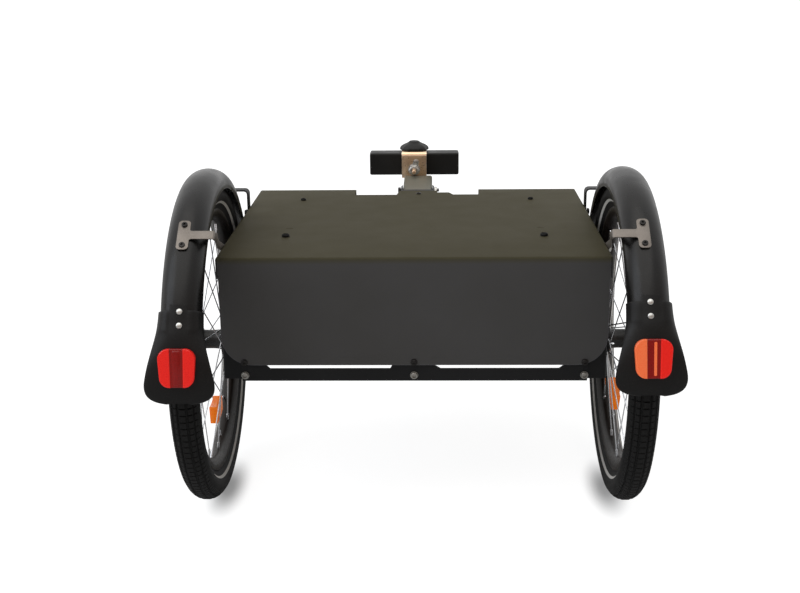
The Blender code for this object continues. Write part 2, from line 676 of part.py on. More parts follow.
def rear_crossbeam(root):
    """Angle across the back whose web is notched into two windows under the panel."""
    path = [(BEAM_REAR, BEAM_TAB), (BEAM_REAR, BEAM_BOTTOM), (BEAM_REAR + BEAM_FLANGE, BEAM_BOTTOM)]
    beam = extruded("rear_crossbeam", fold(path, SHEET), "X", -BEAM_HALF, BEAM_HALF, FRAME_BLACK,
                    root)
    slots = bmesh.new()
    for outer_top, outer_low, inner_low, inner_top in (
            (-SLOT_OUTER, -SLOT_OUTER + SLOT_CHAMFER, -SLOT_INNER - 0.004, -SLOT_INNER),
            (SLOT_OUTER + 0.003, SLOT_OUTER - SLOT_CHAMFER, SLOT_INNER + 0.008, SLOT_INNER - 0.005)):
        outline = [(outer_top, BEAM_TAB + 0.01), (outer_top, PANEL_BOTTOM + 0.003),
                   (outer_low, SLOT_BOTTOM), (inner_low, SLOT_BOTTOM),
                   (inner_top, PANEL_BOTTOM + 0.001), (inner_top, BEAM_TAB + 0.01)]
        prism(slots, outline, "Y", BEAM_REAR - 0.01, BEAM_REAR + 0.01)
    drills = []
    for x in (-BEAM_BOLT_X, 0, BEAM_BOLT_X):
        drills += beam_drills(x, 0.0025 + CLEAR)
    return combine(beam, "DIFFERENCE", add("beam_slots", slots, None, root),
                   holes("beam_holes", root, *drills))


def bolt(name, axis, at, outwards, slot, parent, head=(0.006, 0.005), shank=0.0025, grip=0.006,
         nut=(0.005, 0.004)):
    """Socket-head bolt and its nut: the head lies on the outer plate, the nut behind the last."""
    radius, height = head
    tip = grip + CLEAR
    rows = [(-height, 0), (-height, 0.8 * radius), (-0.75 * height, radius), (0, radius),
            (0, shank), (tip, shank), (tip, nut[0]), (tip + nut[1], nut[0]), (tip + nut[1], 0)]
    rows = [(-outwards * (along - CLEAR), r) for along, r in rows]
    bm = lathe(bmesh.new(), rows, axis, 8, at)
    return add(name, bm, slot, parent)


def chassis_bolts(root):
    plates = SHEET + CLEAR
    for x, name in ((-BEAM_BOLT_X, "left"), (0, "centre"), (BEAM_BOLT_X, "right")):
        bolt("crossbeam_bolt_" + name, "Y", (x, BEAM_REAR, BEAM_BOLT_Z), -1, ZINC, root,
             grip=2 * plates)
        bolt("panel_bolt_" + name, "Y", (x, DECK_REAR, PANEL_BOTTOM + PANEL_BOLT_UP), -1,
             BOLT_BLACK, root, head=(0.0045, 0.0028), shank=0.0022, grip=3 * plates,
             nut=(0.004, 0.003))
    bolt("spine_bolt", "Z", (0.003, SPINE_BOLT_Y, DECK_TOP), 1, BOLT_BLACK, root,
         head=(0.0042, 0.002), shank=0.002, grip=2 * plates, nut=(0.004, 0.003))


def stub_axle(side, name, root):
    """Bolted into the side plate, with a shoulder that spaces the hub off it."""
    inside = WEB_OUT - SHEET - CLEAR
    shoulder = WHEEL_X - HUB_WIDTH / 2 - CLEAR
    hub_out = WHEEL_X + HUB_WIDTH / 2
    end = hub_out + 0.0115
    rows = [(inside - 0.008, 0), (inside - 0.008, 0.009), (inside - 0.007, 0.010), (inside, 0.010),
            (inside, AXLE_RADIUS), (WEB_OUT + CLEAR, AXLE_RADIUS), (WEB_OUT + CLEAR, 0.014),
            (shoulder - 0.003, 0.012), (shoulder, 0.009), (shoulder, AXLE_RADIUS),
            (end - 0.001, AXLE_RADIUS), (end, AXLE_RADIUS - 0.001), (end, 0)]
    bm = lathe(bmesh.new(), [(side * x, r) for x, r in rows], "X", 12, (0, 0, TYRE_RADIUS))
    add("stub_axle_" + name, bm, ZINC, root)
    low = hub_out + CLEAR
    bore = (AXLE_RADIUS + CLEAR) / cos(pi / 6)
    rows = [(low, bore), (low, 0.0115), (low + 0.0015, 0.0115), (low + 0.0015, 0.0095),
            (low + 0.008, 0.0095), (low + 0.0092, 0.008), (low + 0.0092, bore)]
    bm = lathe(bmesh.new(), [(side * x, r) for x, r in rows], "X", 6, (0, 0, TYRE_RADIUS), True)
    add("axle_nut_" + name, bm, ZINC, root)


# Mudguards and what hangs on them. Angles are from the top of the wheel, backwards positive.

def polar(x, radius, angle):
    a = radians(angle)
    return Vector((x, -radius * sin(a), TYRE_RADIUS + radius * cos(a)))


def guard_turn(side):
    return GUARD_TURN[side > 0]


def guard_middle(side, angle):
    """Where the middle of a mudguard is across the trailer at an angle from its top."""
    return side * (GUARD_X + GUARD_LEAN[side > 0] * max(sin(radians(angle)), 0))


def guard_section(grow, steps):
    """Half ellipse, carried on round as skirts, of one face of the mudguard as (x, radius)."""
    base = GUARD_CROWN - GUARD_RISE
    rows = []
    for k in range(steps + 1):
        a = radians(-GUARD_SKIRT + (180 + 2 * GUARD_SKIRT) * k / steps)
        rows.append(((GUARD_HALF + grow) * cos(a), base + (GUARD_RISE + grow) * sin(a)))
    return rows


def mudguard(side, name, root):
    section = guard_section(0, 9) + guard_section(-GUARD_SHELL, 6)[::-1]
    steps = 18
    rings = []
    for k in range(steps + 1):
        angle = -GUARD_FRONT + (GUARD_FRONT + GUARD_REAR) * k / steps - guard_turn(side)
        middle = guard_middle(side, angle)
        rings.append([polar(middle + x, r, angle) for x, r in section])
    return lofted("fender_" + name, rings, GUARD_BLACK, root)


def ease(value, low, high):
    t = min(max((value - low) / (high - low), 0), 1)
    return t * t * (3 - 2 * t)


def flap_half(angle):
    """Half its width: a collar, an even flare, and a rounded end."""
    widest = FLAP_END - FLAP_ROUND
    flare = min(max((angle - FLAP_FLARE) / (widest - FLAP_FLARE), 0), 1) ** 1.1
    half = FLAP_COLLAR + (FLAP_HALF - FLAP_COLLAR) * flare
    if angle > widest:
        half *= max(1 - ((angle - widest) / FLAP_ROUND) ** 2.6, 0.1) ** (1 / 2.6)
    return half


def flap_section(angle, outside):
    """From a collar that hugs the mudguard, with a lobe on each side, to a broad flat end."""
    base = GUARD_CROWN - GUARD_RISE
    flat = ease(angle, 64, 80)
    half = flap_half(angle)
    lobe = FLAP_LOBE if angle >= FLAP_LOBES else FLAP_TAB
    rows = []
    for u in (-1, -0.76, -0.52, -0.31, -0.26, 0, 0.26, 0.31, 0.52, 0.76, 1):
        collar = lobe if abs(u) > 0.3 else FLAP_TAB
        shell = collar + (FLAP_SHELL - collar) * ease(angle, 67, 73)
        grow = FLAP_FIT + outside * shell
        a = radians(82 * u)
        hug = Vector(((GUARD_HALF + grow) * sin(a), base + (GUARD_RISE + grow) * cos(a)))
        spread = half / FLAP_HALF
        plain = Vector((half * u, GUARD_CROWN + grow - 0.006 * spread * u * u))
        rows.append(hug.lerp(plain, flat))
    return rows


def mud_flap(side, name, root):
    rings = []
    angles = [FLAP_START, FLAP_LOBES - 0.3, FLAP_LOBES, 66, 68.5, FLAP_FLARE, 73, 76, 79, 82, 84.3,
              FLAP_END - FLAP_ROUND, 88, 89.6, 90.8, 91.5, FLAP_END]
    for angle in angles:
        outer = flap_section(angle, 1)
        inner = flap_section(angle, 0)
        at = angle - guard_turn(side)
        middle = guard_middle(side, at)
        rings.append([polar(middle + p.x, p.y, at) for p in outer + inner[::-1]])
    return lofted("mud_flap_" + name, rings, FLAP_BLACK, root)


def rear_reflector(side, name, root):
    """Rounded-square lens with a stepped, slightly domed front."""
    out = GUARD_CROWN + FLAP_FIT + FLAP_SHELL + CLEAR
    at = REFLECTOR_AT - guard_turn(side)
    centre = polar(guard_middle(side, at), out, at)
    a = radians(at)
    normal = Vector((0, -sin(a), cos(a)))
    down = Vector((0, -cos(a), -sin(a)))
    rings = []
    for depth, inset in ((0, 0.0015), (0.35, 0), (0.8, 0.001), (1, 0.0045)):
        ring = []
        for k in range(20):
            t = 2 * pi * (k + 0.5) / 20
            x = abs(cos(t)) ** 0.55 * (REFLECTOR_WIDTH / 2 - inset) * (1 if cos(t) > 0 else -1)
            s = abs(sin(t)) ** 0.62 * (REFLECTOR_HEIGHT / 2 - inset) * (1 if sin(t) > 0 else -1)
            ring.append(centre + Vector((x, 0, 0)) + down * s + normal * depth * REFLECTOR_DEPTH)
        rings.append(ring)
    return lofted("rear_reflector_" + name, rings, RED_LENS, root)


def rear_bracket(side, name, root):
    """T-shaped stainless strap: head on the crown, stem inwards, leg folded down to the deck.

    It is drawn at the top of the wheel as a flat blank, folded, and then turned back.
    """
    tilt = radians(BRACKET_AT)
    low = STRAP_RADIUS
    fold_x = LEG_IN + STRAP + STRAP_FOLD
    used = STRAP_FOLD * pi / 2
    foot = turn_2d(Vector((BRACKET_BOLT_Y, BRACKET_BOLT_Z - TYRE_RADIUS)), -tilt)
    elbow = Vector((GUARD_X - fold_x + used + 0.004, 0))
    toe = Vector((GUARD_X - fold_x + used + low - STRAP_FOLD - foot.y, foot.x))
    way = (toe - elbow).normalized()
    half = BRACKET_STEM / 2
    mitre = (Vector((0, 1)) + left_of(way)) / (1 + way.x) * half
    end = toe + way * half
    a, b = BRACKET_HEAD_WIDTH / 2, BRACKET_HEAD / 2
    blank = [(-a, -b), (a, -b), (a, -half), elbow - mitre, end - left_of(way) * half,
             end + left_of(way) * half, elbow + mitre, (a, half), (a, b), (-a, b)]
    radii = [a * 0.98, a * 0.98, 0.003, 0.006, half * 0.98, half * 0.98, 0.006, 0.003, a * 0.98,
             a * 0.98]
    outline = [(side * (GUARD_X - p.x), p.y) for p in rounded(blank, radii)]
    bm = prism(bmesh.new(), outline, "Z", low, low + STRAP)
    bend_sheet(bm, (side * fold_x, 0, low), (-side, 0, 0), (0, 0, -1), STRAP_FOLD, pi / 2)
    bracket = add("fender_bracket_" + name, bm, STAINLESS, root)
    x0, x1 = sorted((side * (LEG_IN - 0.01), side * (LEG_IN + 0.01)))
    hole = holes("bracket_hole_" + name, root, ("X", foot, 0.003 + CLEAR, x0, x1))
    for thing in (bracket, hole):
        thing.location = (0, 0, TYRE_RADIUS)
        thing.rotation_euler = (tilt, 0, 0)
    return combine(bracket, "DIFFERENCE", hole)


def front_stay(side, name, root):
    """Black strap up from the deck, out over the wheel and back along the crown."""
    y0, y1 = STAY_Y - STAY_WIDTH / 2, STAY_Y + STAY_WIDTH / 2
    x0, x1 = GUARD_X - STAY_WIDTH / 2, GUARD_X + STAY_WIDTH / 2
    under = STAY_TOP - STRAP
    fold_x = LEG_IN + STRAP + STRAP_FOLD
    leg = STRAP_FOLD * pi / 2 + under - STRAP_FOLD - (STAY_BOLT_Z - 0.010)
    slope = radians(STAY_PAD_AT)
    touch = Vector((STRAP_RADIUS * sin(slope), TYRE_RADIUS + STRAP_RADIUS * cos(slope)))
    to_corner = (touch.y - under) / sin(slope)
    corner_y = touch.x + to_corner * cos(slope)
    set_back = PAD_FOLD * tan(slope / 2)
    fold_y = corner_y + set_back
    pad = PAD_FOLD * slope + to_corner + STAY_PAD - set_back
    blank = [(x1, y1), (fold_x - leg, y1), (fold_x - leg, y0), (x0, y0), (x0, fold_y - pad),
             (x1, fold_y - pad)]
    blank = rounded(blank, [0.006, 0.006, 0.006, 0.003, 0.006, 0.006])
    bm = prism(bmesh.new(), mirrored(blank, side), "Z", under, STAY_TOP)
    bend_sheet(bm, (0, fold_y, under), (0, -1, 0), (0, 0, 1), PAD_FOLD, slope)
    bend_sheet(bm, (side * fold_x, 0, under), (-side, 0, 0), (0, 0, -1), STRAP_FOLD, pi / 2)
    stay = add("fender_stay_" + name, bm, FRAME_BLACK, root)
    x0, x1 = sorted((side * (LEG_IN - 0.01), side * (LEG_IN + 0.01)))
    hole = holes("stay_hole_" + name, root, ("X", (STAY_Y, STAY_BOLT_Z), 0.003 + CLEAR, x0, x1))
    return combine(stay, "DIFFERENCE", hole)


def side_bolts(side, name, root):
    out = side * (LEG_IN + STRAP)
    grip = STRAP + 2 * SHEET + 2 * CLEAR
    bolt("bracket_bolt_" + name, "X", (out, BRACKET_BOLT_Y, BRACKET_BOLT_Z), side, ZINC, root,
         head=(0.0065, 0.007), shank=0.003, grip=grip, nut=(0.0055, 0.005))
    bolt("stay_bolt_" + name, "X", (out, STAY_Y, STAY_BOLT_Z), side, BOLT_BLACK, root,
         head=(0.005, 0.006), shank=0.003, grip=grip, nut=(0.0055, 0.005))


# Drawbar and clamp head, each body drawn about its own joint.

def drawbar_tube(pivot):
    """Square-cornered tube whose tail is chamfered so that it clears its channel when folded."""
    half_w, top = TUBE_WIDTH / 2, PIVOT_DROP
    low = top - TUBE_HEIGHT
    end = HEAD_Y - PIVOT_Y - CLEAR
    outline = rounded(rectangle(-half_w, half_w, low, top), 0.004)
    tube = extruded("drawbar_tube", outline, "Y", -TUBE_TAIL, end, ARM_GREY, pivot)
    bore = rounded(rectangle(-half_w + TUBE_WALL, half_w - TUBE_WALL, low + TUBE_WALL,
                             top - TUBE_WALL), 0.0018, 2)
    inside = extruded("tube_bore", bore, "Y", -TUBE_TAIL - 0.01, end + 0.01, None, pivot)
    cut = TUBE_TAIL_CHAMFER
    corner = [(-TUBE_TAIL - 0.01, low - 0.01), (-TUBE_TAIL + cut + 0.01, low - 0.01),
              (-TUBE_TAIL - 0.01, low + cut + 0.01)]
    tail = extruded("tube_tail", corner, "X", -half_w - 0.01, half_w + 0.01, None, pivot)
    hole = holes("tube_hole", pivot, ("X", (0, 0), PIVOT_RADIUS + CLEAR, -0.05, 0.05))
    return combine(tube, "DIFFERENCE", inside, tail, hole)


def head_plate(pivot):
    """Upright plate across the end of the tube, bored for the roll bolt."""
    y0 = HEAD_Y - PIVOT_Y
    low = PIVOT_DROP - TUBE_HEIGHT
    top = HEAD_TOP - PIVOT_Z
    outline = rounded(rectangle(HEAD_X - HEAD_WIDTH / 2, HEAD_X + HEAD_WIDTH / 2, low, top), 0.003)
    plate = extruded("drawbar_head_plate", outline, "Y", y0, y0 + HEAD_PLATE, STAINLESS, pivot)
    hole = holes("plate_hole", pivot, ("Y", (HEAD_X, ROLL_Z - PIVOT_Z), ROLL_RADIUS + CLEAR,
                                       y0 - 0.01, y0 + 0.02))
    return combine(plate, "DIFFERENCE", hole)


def pivot_bolt(pivot):
    """Cross bolt of the fold, with its nut on the right-hand ear."""
    ear = SPINE_HALF + CLEAR
    rows = [(-ear - 0.0055, 0), (-ear - 0.0055, 0.0042), (-ear - 0.0045, 0.005), (-ear, 0.005),
            (-ear, PIVOT_RADIUS), (ear + 0.008, PIVOT_RADIUS), (ear + 0.0088, 0.0022),
            (ear + 0.0088, 0)]
    turned("drawbar_pivot_bolt", rows, "X", BOLT_BLACK, pivot, 12)
    bore = (PIVOT_RADIUS + CLEAR) / cos(pi / 6)
    rows = [(ear, bore), (ear, 0.0062), (ear + 0.005, 0.0062), (ear + 0.006, 0.0054),
            (ear + 0.006, bore)]
    turned("drawbar_pivot_nut", rows, "X", ZINC, pivot, 6, closed=True)


def roll_bolt(roll):
    """Long bolt through both plates; its tail stands out behind the nut."""
    plate = HEAD_PLATE + 2 * CLEAR
    web = plate / 2 + CLAMP_WALL + CLEAR
    back = -plate / 2
    tip = back - 0.010 - ROLL_TAIL * 0.62
    rows = [(web + 0.005, 0), (web + 0.005, 0.0078), (web + 0.004, 0.0088), (web, 0.0088),
            (web, ROLL_RADIUS), (tip + 0.0012, ROLL_RADIUS), (tip, ROLL_RADIUS - 0.0012), (tip, 0)]
    turned("roll_bolt", rows, "Y", ZINC, roll, 14)
    bore = (ROLL_RADIUS + CLEAR) / cos(pi / 6)
    face = back - CLEAR
    rows = [(face, bore), (face, 0.0118), (face - 0.0018, 0.0118), (face - 0.0018, 0.0098),
            (face - 0.0105, 0.0098), (face - 0.0118, 0.0088), (face - 0.0118, bore)]
    turned("roll_nut", rows, "Y", ZINC, roll, 6, closed=True)


def clamp_frame():
    """Heights and depths of the yoke about the roll axis."""
    web = HEAD_PLATE / 2 + CLEAR
    inner = web + CLAMP_WALL
    half = BLOCK_HEIGHT / 2 + CLEAR
    return web, inner, half


def hitch_bracket(roll):
    """C-shaped yoke, open forwards, with the clamp block between its flanges."""
    web, inner, half = clamp_frame()
    reach = web + KINGPIN_AHEAD + 0.014
    top, under = BLOCK_ABOVE + half + CLAMP_WALL, BLOCK_ABOVE - half - CLAMP_WALL
    path = [(reach, top), (web, top), (web, under), (reach, under)]
    yoke = extruded("hitch_bracket", fold(path, CLAMP_WALL, 0.0065, 4), "X", -HEAD_WIDTH / 2,
                    HEAD_WIDTH / 2, STAINLESS, roll)
    pin = (0, web + KINGPIN_AHEAD)
    drills = [("Y", (0, 0), ROLL_RADIUS + CLEAR, web - 0.01, inner + 0.004),
              ("Z", pin, KINGPIN_RADIUS + CLEAR, -half - 0.02, half + 0.02)]
    return combine(yoke, "DIFFERENCE", holes("yoke_holes", roll, *drills))


def hitch_block(yaw):
    """Clamp block that swivels on the kingpin."""
    half_l, half_h = BLOCK_LENGTH / 2, BLOCK_HEIGHT / 2
    outline = rounded(rectangle(-half_l, half_l, -half_h, half_h), BLOCK_CORNER)
    rings = []
    for y, inset in ((-0.5, 0.0015), (-0.45, 0), (0.45, 0), (0.5, 0.0015)):
        ring = []
        for p in outline:
            scale_x = (half_l - inset) / half_l
            scale_z = (half_h - inset) / half_h
            ring.append((p.x * scale_x, y * BLOCK_DEPTH, p.y * scale_z))
        rings.append(ring)
    body = lofted("hitch_block", rings, BLOCK_BLACK, yaw)
    hole = holes("block_hole", yaw, ("Z", (0, 0), KINGPIN_RADIUS + CLEAR, -0.05, 0.05))
    return combine(body, "DIFFERENCE", hole)


def kingpin(roll):
    """Bolt up through the yoke and the block, on which the knob screws down."""
    web, inner, half = clamp_frame()
    under = BLOCK_ABOVE - half - CLAMP_WALL - CLEAR
    top = BLOCK_ABOVE + half + CLAMP_WALL + 0.011
    rows = [(under - 0.006, 0), (under - 0.006, 0.0074), (under - 0.005, 0.0086), (under, 0.0086),
            (under, KINGPIN_RADIUS), (top, KINGPIN_RADIUS), (top, 0)]
    turned("kingpin", rows, "Z", ZINC, roll, 12, at=(0, web + KINGPIN_AHEAD, 0))


def star_knob(screw):
    """Five-lobed plastic knob, hollow underneath round the kingpin."""
    levels = ((0, 0.95, 1), (0.12, 1, 1), (0.32, 0.95, 1), (0.5, 0.78, 0.6), (0.82, 0.46, 0.1),
              (1, 0.31, 0))
    rings = []
    for height, share, lobes in levels:
        ring = []
        for k in range(20):
            a = 2 * pi * k / 20
            radius = share * KNOB_RADIUS * (1 - 0.13 * lobes * (1 + cos(5 * a + pi)) / 2)
            ring.append((radius * cos(a), radius * sin(a), height * KNOB_HEIGHT))
        rings.append(ring)
    knob = lofted("star_knob", rings, BLOCK_BLACK, screw)
    hole = holes("knob_hole", screw, ("Z", (0, 0), KINGPIN_RADIUS + CLEAR, -0.01, 0.0112))
    return combine(knob, "DIFFERENCE", hole)


def drawbar(root):
    pivot = empty("drawbar_pivot", (0, PIVOT_Y, PIVOT_Z), root)
    drawbar_tube(pivot)
    head_plate(pivot)
    pivot_bolt(pivot)
    middle = HEAD_Y + HEAD_PLATE / 2
    roll = empty("roll_axis", (HEAD_X, middle - PIVOT_Y, ROLL_Z - PIVOT_Z), pivot)
    roll_bolt(roll)
    hitch_bracket(roll)
    kingpin(roll)
    web, inner, half = clamp_frame()
    yaw = empty("kingpin_axis", (0, web + KINGPIN_AHEAD, BLOCK_ABOVE), roll)
    hitch_block(yaw)
    top = half + CLAMP_WALL + CLEAR
    bore = KINGPIN_RADIUS + CLEAR
    ring = [(top, bore), (top, 0.011), (top + 0.0015, 0.011), (top + 0.0015, bore)]
    turned("knob_washer", ring, "Z", ZINC, yaw, 14, closed=True)
    screw = empty("knob_axis", (0, 0, top + 0.0015 + CLEAR), yaw)
    star_knob(screw)


def centre_over_origin(root):
    """Move the whole part so that the origin lies under the middle of its bounding box."""
    bpy.context.view_layer.update()
    graph = bpy.context.evaluated_depsgraph_get()
    reach = []
    for thing in bpy.data.objects:
        if thing.type == "MESH" and not thing.hide_render:
            solid = thing.evaluated_get(graph)
            reach += [(solid.matrix_world @ Vector(corner)).y for corner in solid.bound_box]
    root.location.y = -(min(reach) + max(reach)) / 2
    bpy.context.view_layer.update()


clear_scene()
DECK_PAINT = material("deck_paint", (0.080, 0.078, 0.056), 0.48, 0.2)
FRAME_BLACK = material("frame_black", (0.012, 0.012, 0.012), 0.45, 0.2)
RUBBER = material("tyre_rubber", (0.014, 0.014, 0.014), 0.8)
RIM_BLACK = material("rim_black", (0.015, 0.014, 0.013), 0.35, 0.4)
HUB_BLACK = material("hub_black", (0.012, 0.012, 0.012), 0.35, 0.4)
STEEL = material("bearing_steel", (0.45, 0.45, 0.45), 0.3, 1.0)
AMBER = material("amber_reflector", (0.85, 0.22, 0.02), 0.25)
BRASS_BLACK = material("valve_black", (0.02, 0.02, 0.02), 0.5)
ZINC = material("zinc_steel", (0.55, 0.54, 0.52), 0.32, 1.0)
BOLT_BLACK = material("black_bolt", (0.02, 0.02, 0.02), 0.4, 0.6)
GUARD_BLACK = material("mudguard_black", (0.016, 0.016, 0.016), 0.38)
FLAP_BLACK = material("flap_black", (0.020, 0.020, 0.020), 0.55)
RED_LENS = material("red_lens", (0.70, 0.03, 0.02), 0.2)
STAINLESS = material("stainless_steel", (0.27, 0.24, 0.21), 0.35, 0.9)
ARM_GREY = material("drawbar_grey", (0.19, 0.19, 0.16), 0.4, 0.5)
BLOCK_BLACK = material("clamp_black", (0.015, 0.014, 0.013), 0.42)

trailer = empty("trailer", (0, 0, 0))
deck_panel(trailer)
front_crossmember(trailer)
centre_spine(trailer)
rear_crossbeam(trailer)
chassis_bolts(trailer)
for SIDE, SIDE_NAME, REFLECTOR_ANGLE in ((1, "right", radians(29)), (-1, "left", 0.0)):
    side_frame(SIDE, SIDE_NAME, trailer)
    stub_axle(SIDE, SIDE_NAME, trailer)
    wheel(SIDE, SIDE_NAME, trailer, REFLECTOR_ANGLE)
    mudguard(SIDE, SIDE_NAME, trailer)
    mud_flap(SIDE, SIDE_NAME, trailer)
    rear_reflector(SIDE, SIDE_NAME, trailer)
    rear_bracket(SIDE, SIDE_NAME, trailer)
    front_stay(SIDE, SIDE_NAME, trailer)
    side_bolts(SIDE, SIDE_NAME, trailer)
drawbar(trailer)
centre_over_origin(trailer)
print("axle y", round(trailer.location.y, 5))
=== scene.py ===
# %% [markdown]
# # A two-wheeled bike trailer with a flat deck
#
# The chassis is loaded as a fixed frame: one object for each solid, all in metres, with the
# ground at z = 0 and the towing direction along +Y. Everything below either gives one of
# those solids a better finish or stands a finer piece in its place.

# %% Load the frame
from math import atan2, cos, degrees, pi, radians, sin, sqrt

import bmesh
import bpy
from mathutils import Matrix, Vector


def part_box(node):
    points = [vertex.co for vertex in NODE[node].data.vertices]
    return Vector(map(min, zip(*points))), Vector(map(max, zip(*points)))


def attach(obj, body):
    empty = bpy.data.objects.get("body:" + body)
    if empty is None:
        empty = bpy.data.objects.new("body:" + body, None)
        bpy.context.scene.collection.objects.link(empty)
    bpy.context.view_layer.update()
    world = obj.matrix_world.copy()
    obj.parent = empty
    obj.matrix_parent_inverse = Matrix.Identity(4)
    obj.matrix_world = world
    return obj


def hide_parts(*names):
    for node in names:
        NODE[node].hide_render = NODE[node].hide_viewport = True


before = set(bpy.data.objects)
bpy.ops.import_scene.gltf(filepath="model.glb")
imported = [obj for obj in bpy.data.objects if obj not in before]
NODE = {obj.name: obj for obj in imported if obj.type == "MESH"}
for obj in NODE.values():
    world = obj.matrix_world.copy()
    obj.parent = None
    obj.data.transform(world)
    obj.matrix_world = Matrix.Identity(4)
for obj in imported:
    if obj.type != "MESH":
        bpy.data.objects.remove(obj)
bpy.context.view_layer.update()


# %% [markdown]
# Both wheels turn about one line, so their centre is the handiest place to measure from. The
# tyre's own box gives it, and the deck's box gives the sheet's edges and its flat top. They
# could be typed as numbers, but read like this they follow the solids.

# %% Places that everything else is measured from
def middle_of(node):
    low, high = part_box(node)
    return (low + high) / 2


WHEEL_X, AXLE_Y, AXLE_Z = middle_of("tyre_right")
DECK_LOW, DECK_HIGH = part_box("deck_panel")
SIDES = (("left", -1), ("right", 1))
print("axle", round(AXLE_Y, 4), round(AXLE_Z, 4), "deck top", round(DECK_HIGH.z, 4))

# %% [markdown]
# ## Camera and light
#
# The photograph was taken from behind, a little above the deck, with a normal lens. The
# camera's place was worked out from the wheels, whose size is standard, and from the deck's
# corners. Euler angles could turn the camera, but their order is easy to mistake, so the rows
# of its matrix are built from yaw, pitch and roll.

# %% Camera at the photograph's place
PHOTO_WIDE, FOCAL = 800, 1238.15
yaw, pitch, roll = 0.0279, 0.2823, -0.0106
forwards = Vector((-sin(yaw) * cos(pitch), cos(yaw) * cos(pitch), -sin(pitch)))
sideways = Vector((cos(yaw), sin(yaw), 0))
upwards = sideways.cross(forwards)
right = sideways * cos(roll) + upwards * sin(roll)
up = upwards * cos(roll) - sideways * sin(roll)

bpy.ops.object.select_all(action="DESELECT")
bpy.ops.object.camera_add()
camera = bpy.context.object
camera.name = "camera"
camera.data.lens = FOCAL / PHOTO_WIDE * camera.data.sensor_width
turn = Matrix((right, up, -forwards)).transposed().to_4x4()
camera.matrix_world = Matrix.Translation((0.0283, -1.8293 + AXLE_Y, 0.8460)) @ turn
bpy.context.scene.camera = camera
print("lens", round(camera.data.lens, 2), "mm")

# %% [markdown]
# World, floor and finishes are all node graphs. They could be wired one node and one link at
# a time, but with a few helpers a graph reads like a formula. An input that is given a number
# or a colour is set, and one that is given another node's output is linked. Textures read
# Object coordinates in metres, so a scale of 900 is a grain of a millimetre.

# %% Helpers for node graphs
def feed(node, name, value):
    socket = node.inputs[name]
    if isinstance(value, bpy.types.NodeSocket):
        node.id_data.links.new(value, socket)
    else:
        socket.default_value = value


def add(tree, kind, settings=None, **inputs):
    """A new node. An input's name is written with _ for each blank."""
    node = tree.nodes.new("ShaderNode" + kind)
    for key, value in (settings or {}).items():
        setattr(node, key, value)
    for name, value in inputs.items():
        feed(node, name.replace("_", " "), value)
    return node


def maths(tree, operation, *values):
    node = add(tree, "Math", {"operation": operation})
    for place, value in enumerate(values):
        feed(node, place, value)
    return node.outputs[0]


def between(tree, value, low, high, start=0.3, end=0.7, **settings):
    """Low where the value is at start, high where it is at end."""
    node = add(tree, "MapRange", settings, Value=value, From_Min=start, From_Max=end,
               To_Min=low, To_Max=high)
    return node.outputs["Result"]


def mixed(tree, share, first, second, kind="MIX"):
    settings = {"data_type": "RGBA", "blend_type": kind}
    return add(tree, "Mix", settings, Factor=share, A=first, B=second).outputs["Result"]


def place_of(tree, stretch=(1, 1, 1), shift=(0, 0, 0)):
    """Object coordinates, stretched and then shifted."""
    where = add(tree, "TexCoord").outputs["Object"]
    return add(tree, "Mapping", Vector=where, Scale=stretch, Location=shift).outputs["Vector"]


def reach_of(tree, vector):
    node = add(tree, "VectorMath", {"operation": "LENGTH"})
    feed(node, 0, vector)
    return node.outputs["Value"]


def noise(tree, scale, detail=4, stretch=(1, 1, 1)):
    where = place_of(tree, stretch)
    return add(tree, "TexNoise", Vector=where, Scale=scale, Detail=detail).outputs["Fac"]


def shade(tree, **inputs):
    """Sets or links inputs of a material's Principled shader."""
    for name, value in inputs.items():
        feed(tree.nodes["Principled BSDF"], name.replace("_", " "), value)


def finish(name, **inputs):
    """A new material, with constants for its shader."""
    made = bpy.data.materials.new(name)
    made.use_nodes = True
    shade(made.node_tree, **inputs)
    return made


WHITE = (1, 1, 1, 1)
print("helpers for node graphs ready")

# %% [markdown]
# Product shots like this one are lit by a big soft ceiling and a window to one side. Area
# lamps could stand for them, but they fall off across the floor, while sun lamps with a wide
# angle are as soft and light it evenly. The world is white where the camera, a gloss or a
# clear piece sees it, and dimmer for the light that it sheds. A gloss that looks back at the
# photographer sees a brown room, not the white paper.

# %% Lamps and world
SCENE = bpy.context.scene
SCENE.view_settings.view_transform = "Standard"
LAMPS = (("ceiling", (0.15, 0.25, -1), 1.05, 70, (1.0, 0.97, 0.92)),
         ("window", (0.85, 0.30, -0.55), 0.75, 40, (0.84, 0.91, 1.0)),
         ("rear_fill", (0.45, 1, -0.15), 0.10, 60, (0.72, 0.84, 1.0)))
for name, toward, strength, width, colour in LAMPS:
    bpy.ops.object.light_add(type="SUN")
    lamp = bpy.context.object
    lamp.name = name
    lamp.data.energy = strength
    lamp.data.angle = radians(width)
    lamp.data.color = colour
    lamp.rotation_euler = Vector(toward).to_track_quat("-Z", "Y").to_euler()

